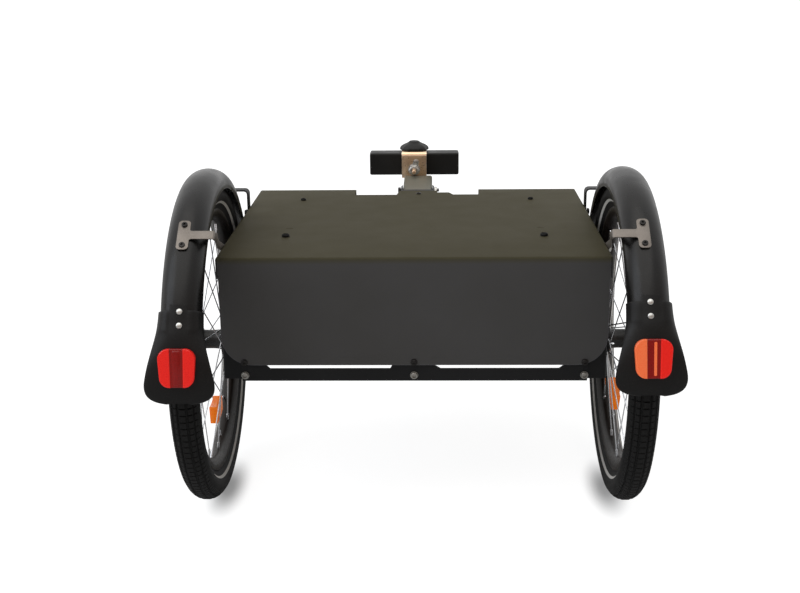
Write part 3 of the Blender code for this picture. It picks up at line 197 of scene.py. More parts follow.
WORLD_SHED, WORLD_SEEN, ROOM_BROWN = 0.24, 1.0, (0.40, 0.31, 0.25, 1)
world = bpy.data.worlds.new("studio")
SCENE.world = world
world.use_nodes = True
tree = world.node_tree
background = tree.nodes["Background"]
rays = add(tree, "LightPath").outputs
seen = maths(tree, "ADD", rays["Is Camera Ray"], rays["Is Glossy Ray"])
seen = maths(tree, "ADD", seen, rays["Is Transmission Ray"])
feed(background, "Strength", between(tree, seen, WORLD_SHED, WORLD_SEEN, 0, 1))
sight = add(tree, "NewGeometry").outputs["Incoming"]
sight = add(tree, "SeparateXYZ", Vector=sight).outputs
room = maths(tree, "MULTIPLY", between(tree, sight["Y"], 0, 1, -0.2, 0.5),
             between(tree, sight["Z"], 0, 1, -0.85, -0.25))
room = maths(tree, "MULTIPLY", room, rays["Is Glossy Ray"])
feed(background, "Color", mixed(tree, room, WHITE, ROOM_BROWN))
print("lamps", [row[0] for row in LAMPS])

# %% [markdown]
# The floor is one wide pale disc. One that only glows would show no shadows, and one that is
# only lit would look grey. This one is lit like everything else, so the wheels leave soft
# shadows, and a little of its own white lifts the unlit remainder to paper white. Beside each
# tyre, where it meets the paper, a soft shadow is painted by dimming that glow.

# %% Floor
PAINTED_SHADOW_X, PAINTED_SHADOW_Y, PAINTED_SHADOW_WIDE, PAINTED_SHADOW_LONG = 0.300, AXLE_Y - 0.010, 0.038, 0.130
bpy.ops.mesh.primitive_circle_add(vertices=96, radius=60, fill_type="NGON",
                                  location=(0, 0, -0.0004))
floor = bpy.context.object
floor.name = "floor"
paper = finish("pale_floor", Roughness=0.9, Specular_IOR_Level=0.0)
tree = paper.node_tree
glow = WHITE
# Painted shadow: the floor's glow is dimmed in a soft spot beside each tyre.
for side_name, side in SIDES:
    painted_shadow_place = place_of(tree, (1 / PAINTED_SHADOW_WIDE, 1 / PAINTED_SHADOW_LONG, 0),
                    (-side * PAINTED_SHADOW_X / PAINTED_SHADOW_WIDE, -PAINTED_SHADOW_Y / PAINTED_SHADOW_LONG, 0))
    light = between(tree, reach_of(tree, painted_shadow_place), 0.26, 1.0, 0.10, 1.0,
                    interpolation_type="SMOOTHSTEP")
    glow = mixed(tree, 1.0, glow, light, "MULTIPLY")
by_camera = add(tree, "LightPath").outputs["Is Camera Ray"]
shade(tree, Base_Color=between(tree, by_camera, 0.86, 0.40, 0, 1), Emission_Color=glow,
      Emission_Strength=between(tree, by_camera, 0.0, 0.90, 0, 1))
floor.data.materials.append(paper)
print("floor", [round(v, 1) for v in floor.dimensions])

# %% [markdown]
# ## Finishes
#
# Each finish starts from the Principled shader. What is even over a surface is a constant on
# the shader, and only what varies is linked: mottled colour, patchy gloss and a fine relief.
# Pictures could give the same, but these patterns have no seams, need no unwrapping and stay
# sharp up close.

# %% Helpers for finishes
def srgb(red, green, blue):
    """A colour as a picture program shows it, 0 to 255, in the linear values Blender uses."""
    def linear(value):
        value /= 255
        return value / 12.92 if value <= 0.04045 else ((value + 0.055) / 1.055) ** 2.4
    return (linear(red), linear(green), linear(blue), 1)


def clouded(tree, dark, light, scale, detail=4):
    """Drifts from one colour to another and back, in clouds."""
    return mixed(tree, between(tree, noise(tree, scale, detail), 0, 1), srgb(*dark), srgb(*light))


def relief(tree, *layers):
    """Bumps of (value, depth in metres), one after the other."""
    last = None
    for value, depth in layers:
        bump = add(tree, "Bump", Strength=1.0, Distance=depth, Height=value)
        if last:
            feed(bump, "Normal", last)
        last = bump.outputs["Normal"]
    return last


def worn_and_highlit_edge(tree, strength=1.0, radius=0.0012):
    """High along outside edges, for wear and for a painted highlight, and 0 on the flats."""
    soft = add(tree, "Bevel", Radius=radius).outputs["Normal"]
    flat = add(tree, "NewGeometry").outputs["True Normal"]
    compare = add(tree, "VectorMath", {"operation": "DOT_PRODUCT"})
    feed(compare, 0, soft)
    feed(compare, 1, flat)
    return between(tree, compare.outputs["Value"], strength, 0, 0.80, 0.99)


def colour_of(tree):
    """What the shader's colour is linked to so far, to be worked over."""
    return tree.nodes["Principled BSDF"].inputs["Base Color"].links[0].from_socket


print("helpers for finishes ready")

# %% [markdown]
# Powder coat is a baked plastic skin over sheet steel. Up close it has a fine orange peel and
# a fleck of grain. Folds and cut edges are painted a shade lighter, partly for wear where the
# coat is thin and partly as a painted highlight. The peel is a bump, because no mesh is as fine.
# One function makes the deck's olive grey and the frame's black, with the colours and the gloss
# as values. The upright rear panel of the deck's sheet is painted a little lighter and bluer
# than its level top, as painted bluish light that falls on it from behind.

# %% Powder coats
PEEL = 0.00006


def powder_coat(name, dark, light, edge, roughness, specular=0.16):
    made = finish(name, Specular_IOR_Level=specular)
    tree = made.node_tree
    grain = between(tree, noise(tree, 1600, 2), 0, 0.35)
    base = mixed(tree, grain, clouded(tree, dark, light, 9), srgb(*light))
    gloss = between(tree, noise(tree, 25), roughness - 0.02, roughness + 0.03)
    # Painted highlight: edges are mixed toward a lighter colour, partly for wear.
    shade(tree, Base_Color=mixed(tree, worn_and_highlit_edge(tree, 0.55), base, srgb(*edge)),
          Roughness=gloss,
          Normal=relief(tree, (noise(tree, 1100, 1), PEEL), (noise(tree, 2600, 2), PEEL / 3)))
    return made


DECK_PAINT = powder_coat("deck_powder_coat", (73, 69, 53), (77, 73, 57), (130, 126, 108), 0.62,
                         specular=0.06)
FRAME_PAINT = powder_coat("frame_powder_coat", (24, 24, 25), (31, 31, 32), (66, 66, 66), 0.45)
ARM_PAINT = powder_coat("drawbar_powder_coat", (116, 114, 102), (124, 122, 110),
                        (168, 166, 152), 0.42)
# Painted light: the upright rear panel is made lighter and bluer, for the bluish light that falls
# on it from behind.
PAINTED_WINDOW_TINT = (1.10, 1.18, 1.90, 1)
tree = DECK_PAINT.node_tree
height = add(tree, "SeparateXYZ", Vector=place_of(tree)).outputs["Z"]
on_panel = between(tree, height, 1, 0, DECK_HIGH.z - 0.010, DECK_HIGH.z - 0.002)
painted_window_light = mixed(tree, on_panel, WHITE, PAINTED_WINDOW_TINT)
shade(tree, Base_Color=mixed(tree, 1.0, colour_of(tree), painted_window_light, "MULTIPLY"))
print("powder coats", DECK_PAINT.name, FRAME_PAINT.name, ARM_PAINT.name)

# %% [markdown]
# Metals differ in how they were finished. Stainless plates are brushed, so their gloss is
# streaked, and their edges are painted bright, partly for wear and partly as a painted
# highlight. An anisotropic gloss would blur the strokes into one, while a stretched noise shows
# them singly. Zinc is plated on, with faint clouds.
# Blackened bolts have a thin dark skin. Rims and hubs are anodised black and pick up a brown
# gloss from what stands round them.

# %% Metals
def metal(name, dark, light, roughness, grain, stretch=(1, 1, 1), **inputs):
    made = finish(name, **{"Metallic": 1.0, **inputs})
    tree = made.node_tree
    streaks = noise(tree, grain, 4, stretch)
    shade(tree, Base_Color=clouded(tree, dark, light, 35),
          Roughness=between(tree, streaks, roughness - 0.09, roughness + 0.12),
          Normal=relief(tree, (streaks, 0.000012)))
    return made


STAINLESS = metal("brushed_stainless", (216, 184, 152), (238, 206, 172), 0.34, 420, (1, 14, 1))
tree = STAINLESS.node_tree
# Painted highlight: the edges are mixed toward a near white, partly for wear.
bright = mixed(tree, worn_and_highlit_edge(tree, radius=0.0016), colour_of(tree), srgb(244, 240, 232))
shade(tree, Base_Color=bright)
BRACKET_STEEL = metal("bead_blasted_stainless", (113, 107, 102), (127, 121, 115), 0.50, 900)
STEEL = metal("plain_steel", (138, 136, 132), (166, 163, 158), 0.34, 500)
ZINC = metal("zinc_plate", (176, 176, 174), (208, 207, 203), 0.30, 500)
SPOKE_STEEL = metal("spoke_steel", (196, 198, 202), (222, 223, 226), 0.20, 700)
BEARING = metal("ground_steel", (140, 140, 142), (176, 176, 178), 0.28, 600)
BLACKENED = metal("blackened_steel", (34, 33, 33), (54, 52, 51), 0.38, 600, Metallic=0.8)
HUB_BLACK = metal("hub_anodised", (20, 19, 19), (30, 29, 28), 0.35, 300, Metallic=0.2)
RIM_BLACK = metal("anodised_black", (24, 19, 16), (33, 26, 21), 0.40, 300, Metallic=0.0,
                  Specular_IOR_Level=0.22)
print("metals", STAINLESS.name, ZINC.name, SPOKE_STEEL.name, RIM_BLACK.name)

# %% [markdown]
# The mudguards are polycarbonate with a soft sheen, the flaps a duller flexible plastic, and
# the clamp block a glass-filled one. Valve stems and grommets are matt rubber. All are black,
# and one black for all would look like one piece, so one function gives each its own sheen
# and relief.

# %% Black plastics
def black_plastic(name, dark, light, roughness, texture, depth, coat=0.0):
    made = finish(name, Specular_IOR_Level=0.22, Coat_Weight=coat, Coat_Roughness=0.25)
    tree = made.node_tree
    dust = between(tree, noise(tree, 700), 0, 0.12, 0.55, 0.8)
    base = mixed(tree, dust, clouded(tree, dark, light, 14, 3), srgb(96, 92, 88))
    shade(tree, Base_Color=base,
          Roughness=between(tree, noise(tree, 40), roughness - 0.06, roughness + 0.08),
          Normal=relief(tree, (noise(tree, texture, 3), depth), (noise(tree, 60, 2), depth * 3)))
    return made


GUARD_BLACK = black_plastic("mudguard_plastic", (12, 11, 11), (17, 15, 14), 0.30, 900, 0.00002,
                            coat=0.10)
FLAP_BLACK = black_plastic("flap_plastic", (14, 14, 14), (20, 19, 19), 0.44, 1500, 0.00005)
BLOCK_BLACK = black_plastic("clamp_plastic", (25, 24, 23), (32, 31, 29), 0.46, 1300, 0.00006)
VALVE_BLACK = black_plastic("valve_rubber", (12, 12, 12), (18, 18, 17), 0.60, 900, 0.00003)
print("plastics", GUARD_BLACK.name, FLAP_BLACK.name, BLOCK_BLACK.name, VALVE_BLACK.name)

# %% [markdown]
# Tyre rubber is nearly black and scatters light, with a bloom of grey dust. The sidewall
# carries a thin reflective band near the rim and a fine moulded ribbing. The band could be a
# strip of mesh with a finish of its own, but as a pattern it is perfectly round. Both follow
# the distance from the axle, which the material works out from Object coordinates.

# %% Tyre rubber
BAND_IN, BAND_OUT, BAND_SOFT = 0.2118, 0.2150, 0.0003
RIBS_PER_METRE = 3600 / (2 * pi)
RUBBER = finish("moulded_rubber", Roughness=0.66, Specular_IOR_Level=0.22)
tree = RUBBER.node_tree
radius = reach_of(tree, place_of(tree, (0, 1, 1), (0, -AXLE_Y, -AXLE_Z)))
dusty = between(tree, noise(tree, 500), 0, 0.08, 0.5, 0.8)
base = mixed(tree, dusty, clouded(tree, (9, 9, 9), (14, 14, 14), 30), srgb(82, 79, 76))
band = maths(tree, "MULTIPLY", between(tree, radius, 0, 1, BAND_IN - BAND_SOFT, BAND_IN),
             between(tree, radius, 1, 0, BAND_OUT, BAND_OUT + BAND_SOFT))
ribs = maths(tree, "SINE", maths(tree, "MULTIPLY", radius, RIBS_PER_METRE * 2 * pi))
shade(tree, Base_Color=mixed(tree, band, base, srgb(228, 224, 218)),
      Normal=relief(tree, (noise(tree, 1200, 3), 0.00008), (ribs, 0.00008)))
print("rubber with a band from", BAND_IN, "to", BAND_OUT, "m")

# %% [markdown]
# Reflectors are clear coloured plastic, smooth outside and moulded with tiny prisms behind.
# Real prisms behind clear plastic could be modelled, but would render slowly and with noise.
# They show as a fine pattern of brighter and darker cells, so the colour is broken into
# cells, has a painted glow as if lit from behind, and lies under a thin clear coat.

# %% Reflector plastics
def prism_plastic(name, deep, bright, cell, glow=0.35):
    # Painted glow: the emission lights each lens as if from behind.
    made = finish(name, Roughness=0.2, Specular_IOR_Level=0.2, Coat_Weight=0.2,
                  Coat_Roughness=0.06, Emission_Strength=glow)
    tree = made.node_tree
    cells = add(tree, "TexVoronoi", Vector=place_of(tree), Scale=cell).outputs["Distance"]
    colour = mixed(tree, between(tree, cells, 1, 0, 0.1, 0.75), srgb(*deep), srgb(*bright))
    shade(tree, Base_Color=colour, Emission_Color=colour, Normal=relief(tree, (cells, 0.00006)))
    return made


RED_BRIGHT = prism_plastic("red_side_lens", (214, 22, 16), (238, 40, 30), 1500)
# Painted light: a lighter, warmer copy of the red, for fields that the window lights.
RED_PAINTED_WINDOW_LIGHT = prism_plastic("red_lens_painted_window_light", (228, 96, 52), (244, 128, 78), 1500)
RED_DEEP = prism_plastic("red_centre_lens", (120, 10, 8), (160, 18, 14), 1300, glow=0.15)
AMBER = prism_plastic("amber_lens", (224, 92, 10), (250, 148, 36), 1200)
print("lenses", RED_BRIGHT.name, RED_PAINTED_WINDOW_LIGHT.name, RED_DEEP.name, AMBER.name)

# %% [markdown]
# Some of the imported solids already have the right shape: what is folded, bored or turned
# without a visible detail missing. They keep their meshes and only get their finish. All
# other solids are replaced further down by finer pieces.

# %% Finishes for the solids that stay
FINISHES = {
    "side_frame": FRAME_PAINT, "centre_spine": FRAME_PAINT, "front_crossmember": FRAME_PAINT,
    "rear_crossbeam": FRAME_PAINT, "fender_stay": FRAME_PAINT, "drawbar_tube": ARM_PAINT,
    "hitch_bracket": STAINLESS, "knob_washer": ZINC, "stub_axle": ZINC,
    "inner_bearing": BEARING, "outer_bearing": BEARING, "valve_stem": VALVE_BLACK,
}
kept = []
for name, piece in NODE.items():
    for start, look in FINISHES.items():
        if name.startswith(start):
            piece.data.materials.clear()
            piece.data.materials.append(look)
            kept.append(name)
print("finished", len(kept), "solids")

# %% [markdown]
# ## Modelling helpers
#
# Round pieces start as one vertex that is extruded from point to point along a profile, and
# are then spun. A Screw modifier could do it too, but after a spin the mesh can be shaped
# further at once. Everything on a wheel is drawn at its top, where up is up, and turned into
# place afterwards. In Blender without a window both spin and rotate count a positive angle
# about X from the top towards the front, so an angle measured backwards gets a minus.

# %% Helpers for drawing and shaping
def leave():
    bpy.ops.object.mode_set(mode="OBJECT")


def edit():
    bpy.ops.object.mode_set(mode="EDIT")


def take(*pieces):
    """Out of edit mode, with just these pieces selected and the first one active."""
    if bpy.context.object:
        leave()
    bpy.ops.object.select_all(action="DESELECT")
    for piece in pieces:
        piece.select_set(True)
    if pieces:
        bpy.context.view_layer.objects.active = pieces[0]


def select_all():
    edit()
    bpy.ops.mesh.select_all(action="SELECT")


def pick(test, kind="faces"):
    """Selects only what passes: faces by middle and normal, edges by middle and edge, and
    verts by place."""
    edit()
    bpy.ops.mesh.select_mode(type=kind[:-1].upper())
    bpy.ops.mesh.select_all(action="DESELECT")
    mesh = bmesh.from_edit_mesh(bpy.context.object.data)
    for item in getattr(mesh, kind):
        if kind == "faces":
            item.select_set(bool(test(item.calc_center_median(), item.normal)))
        elif kind == "edges":
            item.select_set(bool(test((item.verts[0].co + item.verts[1].co) / 2, item)))
        else:
            item.select_set(bool(test(item.co)))
    bmesh.update_edit_mesh(bpy.context.object.data)


def extrude(move):
    bpy.ops.mesh.extrude_region_move(TRANSFORM_OT_translate={"value": move})


def resize(scale, centre):
    bpy.ops.transform.resize(value=scale, center_override=centre)


def face_outwards():
    select_all()
    bpy.ops.mesh.normals_make_consistent(inside=False)


def weld():
    select_all()
    bpy.ops.mesh.remove_doubles(threshold=0.00002)
    face_outwards()


def draw(points, closed=True):
    """One vertex extruded from point to point, left in edit mode with all of it selected."""
    take()
    bpy.ops.mesh.primitive_plane_add(size=0.001, location=(0, 0, 0))
    edit()
    bpy.ops.mesh.select_mode(type="VERT")
    select_all()
    bpy.ops.mesh.merge(type="CENTER")
    points = [Vector(p) for p in points]
    bpy.ops.transform.translate(value=points[0])
    for a, b in zip(points, points[1:]):
        extrude(b - a)
    if closed:
        ends = (points[0], points[-1])
        pick(lambda co: min((co - e).length for e in ends) < 1e-6, "verts")
        bpy.ops.mesh.edge_face_add()
    select_all()


def plate(outline, thickness):
    """A flat outline filled and made solid, with the thickness as a move."""
    draw(outline)
    bpy.ops.mesh.edge_face_add()
    extrude(thickness)
    face_outwards()


def spin(centre, axis, steps, turn=360, back=0):
    """Spins what is selected; a part turn is first set back, so that it ends in place."""
    if back:
        bpy.ops.transform.rotate(value=radians(-back), orient_axis="X", center_override=centre)
    bpy.ops.mesh.spin(steps=steps, angle=radians(turn), center=centre, axis=axis)
    weld()


def block(low, high):
    """A cube stretched between two corners, in edit mode."""
    take()
    low, high = Vector(low), Vector(high)
    bpy.ops.mesh.primitive_cube_add(size=1, location=(low + high) / 2, scale=high - low)
    bpy.ops.object.transform_apply()
    edit()


def cylinder(radius, low, high, sides=32, round_top=0.0, round_low=0.0):
    """An upright cylinder between two heights, with one or both of its ends rounded off."""
    take()
    bpy.ops.mesh.primitive_cylinder_add(vertices=sides, radius=radius, depth=high - low,
                                        location=(0, 0, (low + high) / 2))
    bpy.ops.object.transform_apply()
    for at, size in ((high, round_top), (low, round_low)):
        if size:
            pick(lambda middle, edge: all(abs(v.co.z - at) < 1e-6 for v in edge.verts), "edges")
            bpy.ops.mesh.bevel(offset=size, segments=3)
    return bpy.context.object


def modify(kind, **settings):
    """Adds a modifier to the active object and applies it at once."""
    leave()
    made = bpy.context.object.modifiers.new(kind.lower(), kind)
    for key, value in settings.items():
        setattr(made, key, value)
    bpy.ops.object.modifier_apply(modifier=made.name)


def ease(width, angle):
    """Rounds every edge that turns by more than the angle."""
    modify("BEVEL", width=width, segments=2, limit_method="ANGLE", angle_limit=radians(angle))


def cut(piece, tool):
    take(piece)
    modify("BOOLEAN", operation="DIFFERENCE", object=tool, solver="EXACT")
    bpy.data.objects.remove(tool)
    return piece


def join(pieces):
    take(*pieces)
    if len(pieces) > 1:
        bpy.ops.object.join()
    return pieces[0]


print("helpers for drawing and shaping ready")

# %% [markdown]
# A finished piece lies at the origin with its place in its mesh. It is told which body it
# rides on, which colour slot it has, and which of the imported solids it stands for. What
# repeats is modelled once. An Array modifier would make one piece of all copies, so each is a
# copy with a mesh of its own, moved into place by a matrix, such as the one that turns a
# piece from the wheel's top backwards round the axle.


def done(name, look, body, *nodes, smooth=30):
    """Finishes the active object, with the angle up to which it is shaded smooth."""
    leave()
    piece = bpy.context.object
    bpy.ops.object.transform_apply()
    bpy.ops.object.shade_smooth_by_angle(angle=radians(smooth))
    piece.name = piece.data.name = name
    piece.data.materials.clear()
    piece.data.materials.append(look)
    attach(piece, body)
    if nodes:
        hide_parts(*nodes)
    print(name, len(piece.data.polygons), "faces, on", body)


def twin(piece, move):
    """A copy with its own mesh, moved by a matrix."""
    leave()
    other = piece.copy()
    other.data = piece.data.copy()
    other.data.transform(move)
    SCENE.collection.objects.link(other)
    return other


def place_copies(parts, look, body, *places, smooth=30):
    """Joins the parts to one model, finishes a copy at each (name, matrix, nodes), and drops
    the model."""
    model = join(parts)
    for name, move, *nodes in places:
        take(twin(model, move))
        done(name, look, body, *nodes, smooth=smooth)
    bpy.data.objects.remove(model)


def about_axle(x, angle):
    """The matrix that turns what stands at the wheel's top backwards by an angle."""
    centre = Vector((x, AXLE_Y, AXLE_Z))
    turned = Matrix.Rotation(radians(angle), 4, "X")
    return Matrix.Translation(centre) @ turned @ Matrix.Translation(-centre)


def turn_back(x, angle):
    """Turns the active object, drawn at the wheel's top, backwards round the axle."""
    leave()
    bpy.context.object.data.transform(about_axle(x, angle))


def behind_top(point):
    """How many degrees a point lies behind the wheel's top."""
    return degrees(atan2(AXLE_Y - point.y, point.z - AXLE_Z))


def from_axle(point):
    return sqrt((point.y - AXLE_Y) ** 2 + (point.z - AXLE_Z) ** 2)


def looks_out(middle, normal):
    """Whether a face looks away from the line through both axles."""
    return normal.y * (middle.y - AXLE_Y) + normal.z * (middle.z - AXLE_Z) > 0


def turned(section, x, steps, *part):
    """Draws a section of (sideways, radius) points over the axle and spins it round."""
    draw([(x + s, AXLE_Y, AXLE_Z + r) for s, r in section])
    spin((x, AXLE_Y, AXLE_Z), (1, 0, 0), steps, *part)


def mirrored(section):
    return [(-s, r) for s, r in section[::-1]]


def on_both_sides(make):
    for name, side in SIDES:
        make(name, side)


print("helpers for finished pieces ready")

# %% [markdown]
# ## Wheels
#
# A tyre is a horseshoe section spun round the axle. The tread could be a bump, but the tyre's
# edge would stay smooth against the white floor. So the crown is drawn with flat strips, and
# each face of a strip is inset and pushed out, which makes every face one tread block with a
# groove round it. The sidewalls stay smooth under the ribbed rubber. Sidewall, strips and
# liner each lie their own depth inside the tyre's full circle.

# %% Tyres with tread blocks
TYRE_R, TYRE_HALF = AXLE_Z, 0.022
SIDEWALL_IN, STRIP_IN, LINER_IN = 0.0004, 0.0018, 0.0032
STRIPS = (24, 46, 49, 71, 75, 105, 109, 131, 134, 156)


def tyre_arc(angles, inset):
    reach, middle = TYRE_HALF - inset, TYRE_R - TYRE_HALF
    return [(reach * cos(radians(a)), middle + reach * sin(radians(a))) for a in angles]


def make_tyre(name, side):
    bead = [(0.0125, 0.2035), (0.0128, 0.2065)]
    outer = bead + tyre_arc((-24, -12, 0, 12), SIDEWALL_IN) + tyre_arc(STRIPS, STRIP_IN)
    outer += tyre_arc((168, 180, 192, 204), SIDEWALL_IN) + mirrored(bead)
    inner = tyre_arc((198, 160, 125, 90, 55, 20, -18), LINER_IN)
    x = side * WHEEL_X
    turned(outer + [(-0.0098, 0.2035)] + inner + [(0.0098, 0.2035)], x, 144)

    def on_tread(middle, normal):
        reach = from_axle(middle)
        lean = degrees(atan2(reach - (TYRE_R - TYRE_HALF), middle.x - x))
        on_strip = any(a < lean < b for a, b in zip(STRIPS[::2], STRIPS[1::2]))
        return on_strip and reach > TYRE_R - 0.016 and looks_out(middle, normal)

    pick(on_tread)
    bpy.ops.mesh.inset(use_individual=True, thickness=0.0011, depth=0.0023)
    done("tyre_tread_" + name, RUBBER, "wheel_" + name, "tyre_" + name, smooth=40)


on_both_sides(make_tyre)

# %% [markdown]
# A rim is a deep channel with rolled lips, and the line where each side wall meets the deep
# part is kept crisp, because that is where the black gloss breaks. A hub shell has two
# flanges, a waisted barrel between them, and a dust lip at each end. They could be built up
# from cylinders, but a lathe would turn each from one section, and so does a spin. Both are
# alike on the left and right, so half of the outside and half of the inside make the closed
# section.

# %% Rims and hubs
RIM_OUTSIDE = [(0.0105, 0.2010), (0.0112, 0.2029), (0.0124, 0.2033), (0.0134, 0.2024),
               (0.0136, 0.2005), (0.0135, 0.1965), (0.0128, 0.1945), (0.0098, 0.1900),
               (0.0070, 0.1862), (0.0046, 0.1846), (0.0018, 0.1841)]
RIM_INSIDE = [(0.0040, 0.1862), (0.0090, 0.1925), (0.0106, 0.1975)]
HUB_OUTSIDE = [(0.0262, 0.0145), (0.0265, 0.0152), (0.0265, 0.0162), (0.0250, 0.0176),
               (0.0242, 0.0180), (0.0240, 0.0255), (0.0228, 0.0265), (0.0202, 0.0265),
               (0.0190, 0.0255), (0.0188, 0.0190), (0.0170, 0.0166), (0.0140, 0.0152),
               (0.0060, 0.0146)]
HUB_INSIDE = [(0.0180, 0.0090), (0.0180, 0.0138), (0.0262, 0.0138)]


def make_rim_and_hub(name, side):
    for piece, outside, inside, steps, look, node, smooth in (
            ("rim_black_", RIM_OUTSIDE, RIM_INSIDE, 120, RIM_BLACK, "rim_", 28),
            ("hub_shell_", HUB_OUTSIDE, HUB_INSIDE, 48, HUB_BLACK, "hub_and_spokes_", 35)):
        turned(outside + mirrored(outside) + mirrored(inside) + inside, side * WHEEL_X, steps)
        done(piece + name, look, "wheel_" + name, node + name, smooth=smooth)


on_both_sides(make_rim_and_hub)

# %% [markdown]
# Twenty-eight spokes cross twice on each side. Each could be a bevelled curve, but that has
# one thickness, and a spoke has a thicker nipple and a head. So a thin cylinder is made for
# each lean and flange, its ends are extruded into the nipple and the head that is hooked
# through the flange, and it is copied round the wheel in steps of a seventh.

# %% Spokes
SPOKE_R, SPOKE_CIRCLE, SPOKE_END = 0.001, 0.0225, 0.1838
FLANGE_X, RIM_X, STAGGER = 0.0215, 0.003, 0.0016
COLLAR, NIPPLE, HOOK = 0.0004, 0.0106, 0.0012
STEP = 2 * pi / 14


def make_spoke(x, flange, lean):
    """From its head at the flange to the end of its nipple at the rim."""
    at_hub = STEP * ((0 if lean > 0 else 1) + (0.5 if flange < 0 else 0))
    at_rim = at_hub + lean * 2 * STEP

    def point(across, reach, angle):
        return Vector((x + flange * across + lean * STAGGER, AXLE_Y + reach * sin(angle),
                       AXLE_Z + reach * cos(angle)))

    start, end = point(FLANGE_X, SPOKE_CIRCLE, at_hub), point(RIM_X, SPOKE_END, at_rim)
    way = (end - start).normalized()
    length = (end - start).length - COLLAR - NIPPLE
    take()
    bpy.ops.mesh.primitive_cylinder_add(vertices=8, radius=SPOKE_R, depth=length,
                                        location=start + way * length / 2,
                                        rotation=way.to_track_quat("Z", "Y").to_euler())
    bpy.ops.object.transform_apply()
    pick(lambda middle, normal: normal.dot(way) > 0.9)
    extrude(way * COLLAR)
    resize((1.9, 1.9, 1.9), start + way * (length + COLLAR))
    extrude(way * NIPPLE)
    pick(lambda middle, normal: normal.dot(way) < -0.98 and (middle - start).length < 0.001)
    through = Vector((-flange * lean * 0.0044, 0, 0))
    for move in (through * 0.3 - way * HOOK, through * 0.7, through * 0.05):
        extrude(move)
    resize((1.7, 1.7, 1.7), start - way * HOOK + through * 1.05)
    extrude(through * 0.18)
    return bpy.context.object


def make_spokes(name, side):
    x = side * WHEEL_X
    spokes = []
    for flange, lean in ((1, 1), (1, -1), (-1, 1), (-1, -1)):
        spoke = make_spoke(x, flange, lean)
        spokes += [spoke] + [twin(spoke, about_axle(x, 360 / 7 * k)) for k in range(1, 7)]
    join(spokes)
    done("spokes_" + name, SPOKE_STEEL, "wheel_" + name, "hub_and_spokes_" + name, smooth=60)


on_both_sides(make_spokes)

# %% [markdown]
# ## Mudguards, flaps and reflectors
#
# A mudguard is one shell of even thickness with rolled edges. Half a tube with a Solidify
# modifier would have square edges, so the section is drawn with both of its sides. It is
# drawn at the top of the wheel, set forwards to where the guard begins, and spun backwards to
# where it ends. The free end of the right one stands a little outwards, which proportional
# editing does. Each guard has its place along the axle, its turn forwards, and how far its
# end stands out.

# %% Mudguards
GUARD_OUT, GUARD_RISE, GUARD_HALF, GUARD_SHEET = 0.2650, 0.0240, 0.0285, 0.0022
GUARD_BASE = GUARD_OUT - GUARD_RISE
GUARD_FRONT, GUARD_REAR = 62, 75
GUARDS = {"left": (WHEEL_X - 0.001, 0.0, -0.0010), "right": (WHEEL_X - 0.001, 2.5, 0.0035)}


def guard_arc(inset, start, end, steps):
    angles = [radians(start + (end - start) * k / steps) for k in range(steps + 1)]
    return [((GUARD_HALF - inset) * cos(a), GUARD_BASE + (GUARD_RISE - inset) * sin(a))
            for a in angles]


def close_end(test):
    """Fills one open end of a spun shell."""
    pick(lambda middle, edge: edge.is_boundary and test(middle), "edges")
    bpy.ops.mesh.edge_face_add()
    bpy.ops.mesh.quads_convert_to_tris()


def make_guard(name, side):
    away, turn, lean = GUARDS[name]
    section = guard_arc(0, -13, 193, 26) + [(-0.0278, 0.2345)]
    section += guard_arc(GUARD_SHEET, 191, -11, 18) + [(0.0278, 0.2345)]
    turned(section, side * away, 84, -(GUARD_FRONT + GUARD_REAR), -(GUARD_FRONT + turn))
    close_end(lambda middle: middle.y > AXLE_Y)
    close_end(lambda middle: middle.y < AXLE_Y)
    end = GUARD_REAR - turn
    pick(lambda co: behind_top(co) > end - 0.06, "verts")
    bpy.ops.transform.translate(value=(side * lean * sin(radians(end)), 0, 0),
                                use_proportional_edit=True, proportional_size=0.36,
                                proportional_edit_falloff="SMOOTH")
    face_outwards()
    done("mudguard_shell_" + name, GUARD_BLACK, "chassis", "fender_" + name, smooth=45)


on_both_sides(make_guard)

# %% [markdown]
# The flap is soft plastic that starts as a collar round the guard and ends as a broad, nearly
# flat paddle. A flat sheet could be wrapped round the guard, but it would crease where it
# widens. So it grows one ring at a time at the top of the wheel: the new ring is extruded in
# place, the rest of the flap is turned forwards by one step, and the ring is resized while it
# stands upright. The finished flap is turned back as a whole, all but a thin tab of the
# collar is taken off in front, and two lobes are raised beside the tab. A ring is the angle
# behind the wheel's top, half the width, and the height of its bow as a share of the guard's.

# %% Mud flaps
FLAP_RINGS = ((61.5, 0.0291, 1.00), (62.5, 0.0291, 1.00), (63.4, 0.0292, 1.00),
              (65.5, 0.0294, 0.96), (68, 0.0300, 0.87), (70, 0.0308, 0.75), (72, 0.0324, 0.62),
              (74, 0.0344, 0.50), (76, 0.0368, 0.41), (78, 0.0394, 0.35), (80, 0.0419, 0.31),
              (82, 0.0442, 0.29), (84, 0.0462, 0.28), (85.6, 0.0476, 0.27), (87.0, 0.0476, 0.27),
              (88.3, 0.0463, 0.26), (89.4, 0.0430, 0.25), (90.2, 0.0375, 0.22),
              (90.75, 0.0300, 0.17), (91.0, 0.0180, 0.08))
COLLAR_END, TAB_END, TAB_HALF, LOBE_END, FLAP_FIT = 63.4, 67.5, 0.0100, 70, 0.0005


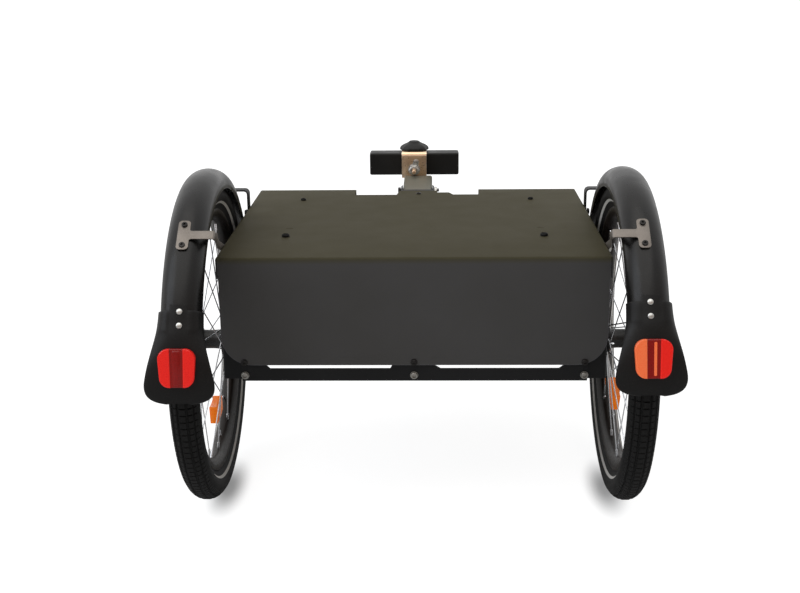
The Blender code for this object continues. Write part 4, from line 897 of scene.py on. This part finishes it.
def make_flap(name, side):
    away, turn, lean = GUARDS[name]
    x = side * (away + lean)
    centre, crown = (x, AXLE_Y, AXLE_Z), (x, AXLE_Y, AXLE_Z + GUARD_OUT + FLAP_FIT)
    at, half, height = FLAP_RINGS[0]
    bow = [radians(a) for a in range(-84, 85, 12)]
    rise = GUARD_RISE + FLAP_FIT
    draw([(x + half * sin(a), AXLE_Y, AXLE_Z + GUARD_BASE + rise * cos(a)) for a in bow],
         closed=False)
    for angle, new_half, new_height in FLAP_RINGS[1:]:
        extrude((0, 0, 0))
        bpy.ops.mesh.select_all(action="INVERT")
        bpy.ops.transform.rotate(value=radians(angle - at), orient_axis="X",
                                 center_override=centre)
        bpy.ops.mesh.select_all(action="INVERT")
        resize((new_half / half, 1, new_height / height), crown)
        at, half, height = angle, new_half, new_height
    face_outwards()
    turn_back(x, at - turn)

    def back_of(middle):
        return behind_top(middle) + turn

    def on_tab(middle, normal):
        return (back_of(middle) < TAB_END and abs(middle.x - x) < TAB_HALF
                and from_axle(middle) > GUARD_OUT + 0.001 and looks_out(middle, normal))

    def on_lobe(middle, normal):
        return (COLLAR_END < back_of(middle) < LOBE_END and TAB_HALF < abs(middle.x - x) < 0.0285
                and looks_out(middle, normal))

    pick(lambda middle, normal: back_of(middle) < COLLAR_END and abs(middle.x - x) > TAB_HALF)
    bpy.ops.mesh.delete(type="FACE")
    modify("SOLIDIFY", thickness=0.0025, offset=1.0, use_even_offset=True)
    pick(on_tab)
    bpy.ops.transform.shrink_fatten(value=-0.0013)
    pick(on_lobe)
    bpy.ops.mesh.inset(thickness=0.0012, depth=0.0007)
    ease(0.0007, 50)
    modify("SUBSURF", levels=1, render_levels=1)
    done("flap_paddle_" + name, FLAP_BLACK, "chassis", "mud_flap_" + name, smooth=50)


on_both_sides(make_flap)

# %% [markdown]
# Each rear reflector is a rounded square with three fields on a deep red base: two flat ones
# at the sides and a half-round rib down the middle. The fields could be painted on one block,
# but pieces of their own leave fine grooves between them. Each field has its own shade. On the
# right one, the left field and the rib are painted a lighter, warmer red as painted window
# light, and the rib is slimmer and stands a little to the right.

# %% Rear reflectors
LENS_AT, LENS_HALF, LENS_TALL, LENS_DEEP = 80.1, 0.02525, 0.0525, 0.0085
LENS_UP, LENS_TAPER, LENS_CORNER, FIELD_FROM = 0.0033, 0.93, 0.0140, 0.0092
RIB_TALL, RIB_SINK, RIB_FLAT = LENS_TALL - 0.004, 0.0048, 0.66
# On the right lens, the left field and the rib get the red with painted window light.
LENS_LOOKS = {"left": (RED_BRIGHT, RED_BRIGHT, RED_DEEP),
              "right": (RED_PAINTED_WINDOW_LIGHT, RED_BRIGHT, RED_PAINTED_WINDOW_LIGHT)}
RIBS = {"left": (0.0086, 0), "right": (0.0068, 0.0022)}


def is_upright(edge):
    way = edge.verts[0].co - edge.verts[1].co
    return abs(way.z) > 0.99 * way.length


def draw_field(x, out, start, end, low, high, corners):
    """A block with the corners on one side rounded, or on both for 0, and a raised face."""
    block((x + start, AXLE_Y - LENS_TALL / 2, out + low),
          (x + end, AXLE_Y + LENS_TALL / 2, out + high))
    pick(lambda middle, edge: is_upright(edge)
         and (not corners or (middle.x - x) * corners > 0.01), "edges")
    bpy.ops.mesh.bevel(offset=LENS_CORNER, segments=8, profile=0.5)
    pick(lambda co: co.y < AXLE_Y, "verts")
    resize((LENS_TAPER, 1, 1), (x, AXLE_Y, out))
    pick(lambda middle, normal: normal.z > 0.9)
    bpy.ops.mesh.inset(thickness=0.0012, depth=0.0009)


def draw_rib(x, out, radius):
    """A flattened rod that lies along the lens, with its ends rounded off."""
    middle = (x, AXLE_Y, out + LENS_DEEP - RIB_SINK)
    take()
    bpy.ops.mesh.primitive_cylinder_add(vertices=40, radius=radius, depth=RIB_TALL,
                                        location=middle, rotation=(pi / 2, 0, 0))
    bpy.ops.object.transform_apply()
    select_all()
    resize((1, 1, RIB_FLAT), middle)
    pick(lambda m, edge: abs(abs(m.y - AXLE_Y) - RIB_TALL / 2) < 1e-5, "edges")
    bpy.ops.mesh.bevel(offset=0.0024, segments=4)


for side_name, side in SIDES:
    away, turn, lean = GUARDS[side_name]
    x, out = side * (away + lean), AXLE_Z + GUARD_OUT + LENS_UP
    look_a, look_b, look_rib = LENS_LOOKS[side_name]
    rib_radius, rib_shift = RIBS[side_name]
    inner = LENS_HALF - 0.0008
    fields = (("base", RED_DEEP, -inner, inner, 0, LENS_DEEP - 0.0014, 0),
              ("field_a", look_a, -LENS_HALF, -FIELD_FROM, 0.002, LENS_DEEP, -1),
              ("field_b", look_b, FIELD_FROM, LENS_HALF, 0.002, LENS_DEEP, 1))
    for part, look, *measures in fields:
        draw_field(x, out, *measures)
        turn_back(x, LENS_AT - turn)
        done(f"lens_{part}_{side_name}", look, "chassis", "rear_reflector_" + side_name)
    draw_rib(x + rib_shift, out, rib_radius)
    turn_back(x, LENS_AT - turn)
    done("lens_rib_" + side_name, look_rib, "chassis", "rear_reflector_" + side_name)

# %% [markdown]
# The amber reflectors clip between the spokes. Each is a curved bar with a raised lens on
# both faces and a thin rim round the lens. A block would be straight, so a section is spun
# through part of a turn, and the lens is inset into both faces. It lies where its solid lies,
# but a few degrees on, where the photograph shows it.

# %% Amber reflectors in the wheels
AMBER_SPAN, AMBER_SHIFT = 22, {"left": 5.6, "right": -3.0}


def make_amber(name, side):
    node = NODE["spoke_reflector_" + name]
    points = [node.matrix_world @ v.co for v in node.data.vertices]
    middle = sum(points, Vector()) / len(points)
    back = behind_top(middle) + AMBER_SHIFT[name]
    section = ((-0.0066, 0.1105), (0.0072, 0.1105), (0.0062, 0.1368), (-0.0052, 0.1368))
    turned(section, middle.x, 14, -AMBER_SPAN, back - AMBER_SPAN / 2)
    close_end(lambda m: behind_top(m) % 360 < back % 360)
    close_end(lambda m: behind_top(m) % 360 > back % 360)
    face_outwards()
    pick(lambda m, normal: abs(normal.x) > 0.9)
    bpy.ops.mesh.inset(thickness=0.0024, depth=-0.0006)
    bpy.ops.mesh.inset(thickness=0.0004, depth=0.0007)
    ease(0.0004, 40)
    done("amber_bar_" + name, AMBER, "wheel_" + name, "spoke_reflector_" + name)


on_both_sides(make_amber)

# %% [markdown]
# ## Fasteners
#
# A bolt is drawn standing up at the origin, head on top, and its copies are laid along their
# axes in the boxes of the solids they stand for. A head is a cylinder with a rounded edge and
# a hexagon cut out of it; under it lie a washer, the shank, and a nut with its nylon collar.
# A cylinder with six sides could be the nut, but a profile spun in six steps also has its
# corners eased. Threads are left out, because they are finer than a pixel.

# %% Bolts and nuts
BOLTS = {  # head, shank and nut radius, head and nut height, washer, finish, way of the head
    "crossbeam_bolt": (0.0050, 0.0024, 0.0056, 0.0046, 0.0036, 0.0007, STEEL, (0, -1, 0)),
    "panel_bolt": (0.0043, 0.0020, 0.0045, 0.0028, 0.0026, 0.0004, BLACKENED, (0, -1, 0)),
    "bracket_bolt": (0.0058, 0.0026, 0.0064, 0.0046, 0.0042, 0.0007, ZINC, (1, 0, 0)),
    "stay_bolt": (0.0050, 0.0024, 0.0056, 0.0040, 0.0036, 0.0007, BLACKENED, (1, 0, 0)),
    "spine_bolt": (0.0040, 0.0018, 0.0042, 0.0020, 0.0026, 0.0003, BLACKENED, (0, 0, 1)),
}
NUT_UP, NUT_COLLAR = 0.0012, 0.0008


def laid_in(node, way):
    """The matrix that turns +Z to the way a head looks, and puts z = 0 at the other end of
    the solid's box. On the left, a way along X is turned round."""
    low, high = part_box(node)
    way = Vector(way) * (-1 if way[0] and node.endswith("left") else 1)
    foot = (low + high) / 2 - way * abs((high - low).dot(way)) / 2
    return Matrix.Translation(foot) @ way.to_track_quat("Z", "Y").to_matrix().to_4x4()


def length_of(node, way):
    low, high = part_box(node)
    return abs((high - low).dot(Vector(way)))


def lay(parts, look, body, way, **nodes):
    """Lays a copy of the joined parts in the box of each solid, given as name=node."""
    place_copies(parts, look, body,
                 *((name, laid_in(node, way), node) for name, node in nodes.items()))


def socket_head(radius, low, high, socket):
    tall = high - low
    head = cylinder(radius, low, high, 40, round_top=tall * 0.32)
    return cut(head, cylinder(socket, high - tall * 0.75, high + 0.002, 6))


def hex_nut(radius, low, high, bore):
    """A nut of this radius across its corners, with its flats eased at both ends."""
    rows = [(bore, low), (radius * 0.93, low), (radius, low + 0.0006), (radius, high - 0.0006),
            (radius * 0.93, high), (bore, high)]
    draw([(r, 0, z) for r, z in rows])
    spin((0, 0, 0), (0, 0, 1), 6)
    return bpy.context.object


for kind, (head, shank, nut, head_tall, nut_tall, washer, look, way) in BOLTS.items():
    nodes = [name for name in NODE if name.startswith(kind)]
    length = length_of(nodes[0], way)
    under = length - head_tall
    parts = [socket_head(head, under + washer, length, head * 0.64),
             cylinder(head * 1.18, under, under + washer),
             cylinder(shank, 0, under, 20, round_low=shank * 0.25),
             hex_nut(nut, NUT_UP, NUT_UP + nut_tall, shank * 0.9),
             cylinder(nut * 0.78, NUT_UP - NUT_COLLAR, NUT_UP, 32, round_low=NUT_COLLAR / 2)]
    lay(parts, look, "chassis", way, **{node + "_set": node for node in nodes})

# %% [markdown]
# The axle nuts are domed flange nuts. The cross bolt of the drawbar has a black head on the
# left ear and a bright nut on the right one. Both hold to the ears of the centre spine, so
# they stay with the chassis while the drawbar folds. Head and nut could be one piece, but
# they have two finishes, so there are two.

# %% Axle nuts and the drawbar's cross bolt
OUT = (1, 0, 0)
parts = [hex_nut(0.0112, 0.0016, length_of("axle_nut_left", OUT) - 0.0004, 0.0050),
         cylinder(0.0122, 0.0, 0.0016, 40, round_top=0.0005)]
lay(parts, ZINC, "chassis", OUT, axle_flange_nut_left="axle_nut_left",
    axle_flange_nut_right="axle_nut_right")
parts = [socket_head(0.0052, 0.0708, 0.0757, 0.0027),
         cylinder(0.0030, 0.0, 0.0708, 24, round_low=0.0008)]
lay(parts, BLACKENED, "chassis", (-1, 0, 0), drawbar_cross_bolt="drawbar_pivot_bolt")
parts = [hex_nut(0.0064, 0.0002, 0.0044, 0.0031),
         cylinder(0.0046, 0.0044, 0.0058, 32, round_top=0.0006)]
lay(parts, ZINC, "chassis", OUT, drawbar_lock_nut="drawbar_pivot_nut")

# %% [markdown]
# Two rivets hold each flap, and two black button screws hold each strap's head. A rivet's
# head is a flattened half ball, because a cylinder with a rounded edge would keep a flat top.
# They stand on a curved shell, so each is stood upright on the top of the wheel and turned
# back.

# %% Rivets and screws
RIVETS, SCREWS = (63.9, 68.0), (35.5, 43.0)


def on_crown(x, height, back):
    """The matrix that stands a piece on the wheel's top and turns it back round the axle."""
    return about_axle(x, back) @ Matrix.Translation((x, AXLE_Y, AXLE_Z + height))


def rivet():
    """A ball cut in half, flattened, with a thin foot extruded down."""
    take()
    bpy.ops.mesh.primitive_uv_sphere_add(segments=24, ring_count=12, radius=0.0043)
    select_all()
    bpy.ops.mesh.bisect(plane_co=(0, 0, 0.0002), plane_no=(0, 0, 1), clear_inner=True,
                        use_fill=True)
    select_all()
    resize((1, 1, 0.45), (0, 0, 0))
    pick(lambda middle, normal: normal.z < -0.9)
    extrude((0, 0, -0.0004))
    extrude((0, 0, -0.0001))
    resize((0.5, 0.5, 1), (0, 0, 0))
    extrude((0, 0, -0.0035))
    return bpy.context.object


rivets, screws = [], []
for side_name, side in SIDES:
    away, turn, lean = GUARDS[side_name]
    for k, back in enumerate(RIVETS):
        x = side * (away + lean - 0.0020)
        rivets.append((f"flap_rivet_{side_name}_{k}",
                       on_crown(x, GUARD_OUT + 0.0022, back - turn)))
    for k, back in enumerate(SCREWS):
        screws.append((f"bracket_screw_{side_name}_{k}",
                       on_crown(side * away, GUARD_OUT + 0.0024, back)))
place_copies([rivet()], ZINC, "chassis", *rivets)
parts = [socket_head(0.0043, 0.0, 0.0024, 0.0020), cylinder(0.0020, -0.0055, 0.0, 16)]
place_copies(parts, BLACKENED, "chassis", *screws)

# %% [markdown]
# Each mudguard hangs from a strap that was cut flat as a T and folded. Bars could be joined
# at angles, but a folded sheet is equally thick everywhere and round at its folds. So the T's
# outline is drawn level on top of the wheel and turned back; then the end of its stem is
# extruded on, round the fold, and forwards and outwards past the edge of the deck to its
# bolt.

# %% Straps folded from sheet
STRAP_AT, STRAP_SHEET = 39.2, 0.0020
STEM_END, STEM_HALF, HEAD_HALF = 0.0402, 0.007, 0.025
STRAP_OUTLINE = ((-0.0085, -HEAD_HALF), (0.0085, -HEAD_HALF), (0.0085, -STEM_HALF),
                 (STEM_END, -STEM_HALF), (STEM_END, STEM_HALF), (0.0085, STEM_HALF),
                 (0.0085, HEAD_HALF), (-0.0085, HEAD_HALF))


def make_strap(name, side):
    away = GUARDS[name][0]
    level = AXLE_Z + GUARD_OUT + STRAP_SHEET / 2
    draw([(side * (away - s), AXLE_Y + a, level) for s, a in STRAP_OUTLINE])
    for reach, size in ((HEAD_HALF, 0.0055), (STEM_HALF, 0.0030)):
        pick(lambda co: abs(abs(co.y - AXLE_Y) - reach) < 1e-5 and abs(co.x) > away - 0.010,
             "verts")
        bpy.ops.mesh.bevel(offset=size, segments=6, affect="VERTICES")
    select_all()
    bpy.ops.mesh.edge_face_add()
    turn_back(side * away, STRAP_AT)
    pick(lambda middle, edge: abs(abs(middle.x) - away + STEM_END) < 1e-5, "edges")
    down = Vector((0, sin(radians(STRAP_AT)), -cos(radians(STRAP_AT))))
    out = Vector((side, 0, 0))
    for fall, turn_in in ((0.0003, 0.0010), (0.0007, 0.0008), (0.0013, 0.0005)):
        extrude(down * fall - out * turn_in)
    mesh = bmesh.from_edit_mesh(bpy.context.object.data)
    at = sum((v.co for v in mesh.verts if v.select), Vector()) / 2
    foot = middle_of("bracket_bolt_" + name)
    run = Vector((0, foot.y - at.y, foot.z - at.z))
    flare = out * (DECK_HIGH.x + 0.0003 + STRAP_SHEET / 2 - abs(at.x))
    for move in (run * 0.10, run * 0.25 + flare / 2, run * 0.25 + flare / 2, run * 0.37):
        extrude(move)
    for move, share in ((0.0050, 0.94), (0.0030, 0.80), (0.0018, 0.66), (0.0009, 0.50)):
        extrude(run.normalized() * move)
        bpy.ops.transform.resize(value=(1, share, share))
    weld()
    modify("SOLIDIFY", thickness=STRAP_SHEET, offset=0)
    ease(0.0004, 60)
    done("mudguard_strap_" + name, BRACKET_STEEL, "chassis", "fender_bracket_" + name, smooth=40)


on_both_sides(make_strap)

# %% [markdown]
# ## Deck
#
# The deck's four holes are lined with rubber grommets, larger ones at the rear. A torus would
# be near, but it has no neck that sits in the hole. So the profile of a grommet is spun once
# for each size, and only what stands above the sheet grows with it.

# %% Grommets
HOLE_X = 0.1975
HOLES = {"front": (0.288, 1.0, 0.0042), "rear": (0.014, 1.3, 0.0050)}  # ahead, size, radius
GROMMET = ((0.0030, -0.0030), (0.0036, -0.0030), (0.0036, -0.0003), (0.0044, 0.0002),
           (0.0046, 0.0016), (0.0042, 0.0030), (0.0036, 0.0034), (0.0030, 0.0030),
           (0.0027, 0.0004))
for place, (y, size, radius) in HOLES.items():
    draw([(r * size, 0, z if z < 0 else z * size) for r, z in GROMMET])
    spin((0, 0, 0), (0, 0, 1), 36)
    place_copies([bpy.context.object], VALVE_BLACK, "chassis",
                 *((f"deck_grommet_{place}_{side_name}",
                    Matrix.Translation((side * HOLE_X, AXLE_Y + y, DECK_HIGH.z)))
                   for side_name, side in SIDES), smooth=50)

# %% [markdown]
# The deck is one sheet. A hollowed block could stand for it, but a press gives every fold one
# round bend, and a skin that is extruded fold by fold has it too. The outer skin starts as
# the outline of front flange, top and rear panel seen from the side, folds included, and is
# extruded across. The side flanges are then extruded from its long edges round their folds,
# the panel's lower corners are rounded, and the skin gets its thickness.

# %% Deck sheet
SHEET, FOLD, FLANGE, PANEL_CORNER = 0.0030, 0.0035, 0.0320, 0.044
low, high = DECK_LOW, DECK_HIGH
half, top = high.x - FOLD, high.z
arc = [radians(a) for a in (0, 22.5, 45, 67.5, 90)]
side_view = [(high.y, top - FLANGE)]
side_view += [(high.y - FOLD + FOLD * cos(a), top - FOLD + FOLD * sin(a)) for a in arc]
side_view += [(low.y + FOLD - FOLD * sin(a), top - FOLD + FOLD * cos(a)) for a in arc]
side_view += [(low.y, low.z)]
draw([(-half, y, z) for y, z in side_view], closed=False)
extrude((2 * half, 0, 0))
for side_name, side in SIDES:
    pick(lambda middle, edge: abs(middle.x - side * half) < 1e-5 and abs(middle.z - top) < 1e-5
         and edge.calc_length() > 0.1, "edges")
    for a, b in zip(arc, arc[1:]):
        extrude((side * FOLD * (sin(b) - sin(a)), 0, FOLD * (cos(b) - cos(a))))
    extrude((0, 0, FOLD - FLANGE))
pick(lambda co: abs(co.z - low.z) < 1e-5, "verts")
bpy.ops.mesh.bevel(offset=PANEL_CORNER, segments=12, affect="VERTICES")
face_outwards()
deck = bpy.context.object
modify("SOLIDIFY", thickness=SHEET, offset=-1.0, use_even_offset=True)
print("deck skin", [round(v * 1000, 1) for v in deck.dimensions], "mm")

# %% [markdown]
# All holes, the two short slots ahead of the rear ones and the recess at the front are cut in
# one go, with one cutter that is joined from a tool for each of them. They could be cut one
# after the other, but every cut leaves more thin triangles in the flat top.

# %% Holes and recess in the deck
SLOT_Y, SLOT_HALF_LONG, SLOT_HALF_WIDE = 0.0700, 0.006, 0.0011


def punch(centre, way, radius):
    tool = cylinder(radius, -0.012, 0.012, 32)
    tool.rotation_mode = "QUATERNION"
    tool.rotation_quaternion = Vector(way).to_track_quat("Z", "Y")
    tool.location = centre
    return tool


back = high.y - 0.049
recess = ((-0.1105, high.y + 0.02), (-0.1105, back), (-0.036, back), (-0.032, back + 0.035),
          (0.036, back + 0.035), (0.036, back + 0.019), (0.057, back + 0.019), (0.064, back),
          (0.1105, back), (0.1105, high.y + 0.02))
plate([(x, y, top - 0.05) for x, y in recess], (0, 0, 0.07))
tools = [bpy.context.object]
spine = middle_of("spine_bolt")
tools.append(punch((spine.x, spine.y, top), (0, 0, 1), 0.0023))
for side_name, side in SIDES:
    x = side * HOLE_X
    tools += [punch((x, AXLE_Y + y, top), (0, 0, 1), radius) for y, size, radius in HOLES.values()]
    y = AXLE_Y + SLOT_Y
    block((x - SLOT_HALF_LONG, y - SLOT_HALF_WIDE, top - 0.01),
          (x + SLOT_HALF_LONG, y + SLOT_HALF_WIDE, top + 0.01))
    tools.append(bpy.context.object)
    for node in ("bracket_bolt_", "stay_bolt_"):
        at = middle_of(node + side_name)
        tools.append(punch((side * high.x, at.y, at.z), (1, 0, 0), 0.0031))
for end in ("left", "centre", "right"):
    at = middle_of("panel_bolt_" + end)
    tools.append(punch((at.x, low.y, at.z), (0, 1, 0), 0.0023))
cut(deck, join(tools))
done("deck_sheet_folded", DECK_PAINT, "chassis", "deck_panel")

# %% [markdown]
# ## Clamp head
#
# The clamp block is a moulding with well rounded edges. Its parting line is a low bead. By
# hand it would start with a loop cut; two bisects round the middle leave the same strip,
# which is then raised.

# %% Clamp block
PARTING = 0.0009
low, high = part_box("hitch_block")
middle_y = (low.y + high.y) / 2
block(low, high)
pick(lambda middle, edge: True, "edges")
bpy.ops.mesh.bevel(offset=0.0042, segments=5, profile=0.6)
for side in (-1, 1):
    select_all()
    bpy.ops.mesh.bisect(plane_co=(0, middle_y + side * PARTING, 0), plane_no=(0, 1, 0))
pick(lambda middle, normal: abs(middle.y - middle_y) < 0.0008 and abs(normal.y) < 0.1)
bpy.ops.transform.shrink_fatten(value=0.00035)
done("clamp_moulding", BLOCK_BLACK, "clamp", "hitch_block", smooth=35)

# %% [markdown]
# The knob is spun from its profile round the kingpin, and its skirt is then squeezed in at
# five places, in three steps each, which leaves five soft lobes. The dips could be cut with
# cylinders, but their edges would be sharp, and moulded ones aren't.

# %% Knob
LOBES, DIP_AT, SKIRT_FROM, SKIRT_TOP = 5, 54, 0.012, 0.012
PIN = middle_of("kingpin")
PIN.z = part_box("star_knob")[0].z
KNOB = ((0.0048, 0.0002), (0.0120, 0.0002), (0.0126, -0.0014), (0.0270, -0.0018),
        (0.0282, -0.0018), (0.0285, -0.0012), (0.0284, 0.0012), (0.0279, 0.0028),
        (0.0264, 0.0046), (0.0242, 0.0063), (0.0212, 0.0081), (0.0172, 0.0098),
        (0.0132, 0.0116), (0.0108, 0.0133), (0.0094, 0.0148), (0.0078, 0.0154),
        (0.0006, 0.0154), (0.0006, 0.0118), (0.0048, 0.0108))


def in_dip(co, way, wide):
    """Whether a point of the skirt lies within some degrees of a dip."""
    off = degrees(atan2(co.y - PIN.y, co.x - PIN.x)) - way
    return (abs((off + 180) % 360 - 180) < wide and (co.xy - PIN.xy).length > SKIRT_FROM
            and co.z < PIN.z + SKIRT_TOP)


draw([(PIN.x + r, PIN.y, PIN.z + z) for r, z in KNOB])
spin(PIN, (0, 0, 1), 60)
for k in range(LOBES):
    for wide, share in ((19, 0.975), (13, 0.97), (7, 0.98)):
        pick(lambda co: in_dip(co, 360 / LOBES * k + DIP_AT, wide), "verts")
        resize((share, share, 1), PIN)
modify("SUBSURF", levels=1, render_levels=1)
done("lobed_knob", BLOCK_BLACK, "knob", "star_knob", smooth=50)

# %% [markdown]
# The head plate is welded to the end of the tube. Seen from behind, its upper part reaches a
# little further to the left than the part that closes the tube. Two blocks would show a seam
# there, so its outline is drawn and thickened, as a plate is cut.

# %% Head plate
STEP_WIDE, PLATE_CORNER = 0.0062, 0.0025
low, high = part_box("drawbar_head_plate")
tube_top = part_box("drawbar_tube")[1].z
step = low.x + STEP_WIDE
outline = ((step, low.z), (high.x, low.z), (high.x, high.z), (low.x, high.z),
           (low.x, tube_top), (step, tube_top))
plate([(x, low.y, z) for x, z in outline], (0, high.y - low.y, 0))
pick(lambda m, edge: abs(edge.verts[0].co.y - edge.verts[1].co.y) > 0.002, "edges")
bpy.ops.mesh.bevel(offset=PLATE_CORNER, segments=4)
ease(0.0003, 60)
done("head_plate_stepped", STAINLESS, "drawbar", "drawbar_head_plate")

# %% [markdown]
# The kingpin and the roll bolt are long bolts with hexagon heads. The roll bolt's nut is a
# tall locking nut on a washer, with a rounded collar on its outer end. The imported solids
# could have stayed, but their ends are sharp, so all three are put together from the same
# parts as the other fasteners.

# %% Kingpin, roll bolt and its nut
UP, FORWARDS = (0, 0, 1), (0, 1, 0)
parts = [cylinder(0.0044, 0.0060, length_of("kingpin", UP), 28, round_top=0.0009),
         hex_nut(0.0084, 0.0, 0.0060, 0.0010), cylinder(0.0083, 0.0055, 0.0062, 40)]
lay(parts, ZINC, "yoke", UP, kingpin_bolt="kingpin")

length = length_of("roll_bolt", FORWARDS)
parts = [cylinder(0.0039, 0.0, length - 0.005, 28, round_low=0.0011),
         hex_nut(0.0086, length - 0.005, length, 0.0010)]
lay(parts, STAINLESS, "drawbar", FORWARDS, roll_bolt_long="roll_bolt")

parts = [hex_nut(0.0104, 0.0030, 0.0108, 0.0038),
         cylinder(0.0116, 0.0108, 0.0118, 40, round_low=0.0003),
         cylinder(0.0080, 0.0006, 0.0030, 40, round_low=0.0014)]
lay(parts, ZINC, "drawbar", FORWARDS, roll_lock_nut="roll_nut")

# %% [markdown]
# Under the nut a tab washer is bent up against a flat. The whole washer could be cut and
# bent, but only its tab shows, leaning a little to one side, with a rounded end and a shallow
# pressed face, so a thin block is enough.

# %% Tab of the washer
TAB_HALF_WIDE, TAB_LOW, TAB_HIGH, TAB_LEAN = 0.0055, 0.0090, 0.0205, -14
ROLL, front = middle_of("roll_bolt"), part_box("roll_nut")[1].y
block((ROLL.x - TAB_HALF_WIDE, front - 0.0013, ROLL.z + TAB_LOW),
      (ROLL.x + TAB_HALF_WIDE, front - 0.0002, ROLL.z + TAB_HIGH))
pick(lambda m, edge: abs(m.z - ROLL.z - TAB_HIGH) < 1e-5 and abs(m.x - ROLL.x) > 0.005, "edges")
bpy.ops.mesh.bevel(offset=0.0050, segments=6)
pick(lambda m, normal: normal.y < -0.9)
bpy.ops.mesh.inset(thickness=0.0006, depth=0.0003)
select_all()
bpy.ops.transform.rotate(value=radians(TAB_LEAN), orient_axis="Y", center_override=ROLL)
done("tab_washer", ZINC, "drawbar")
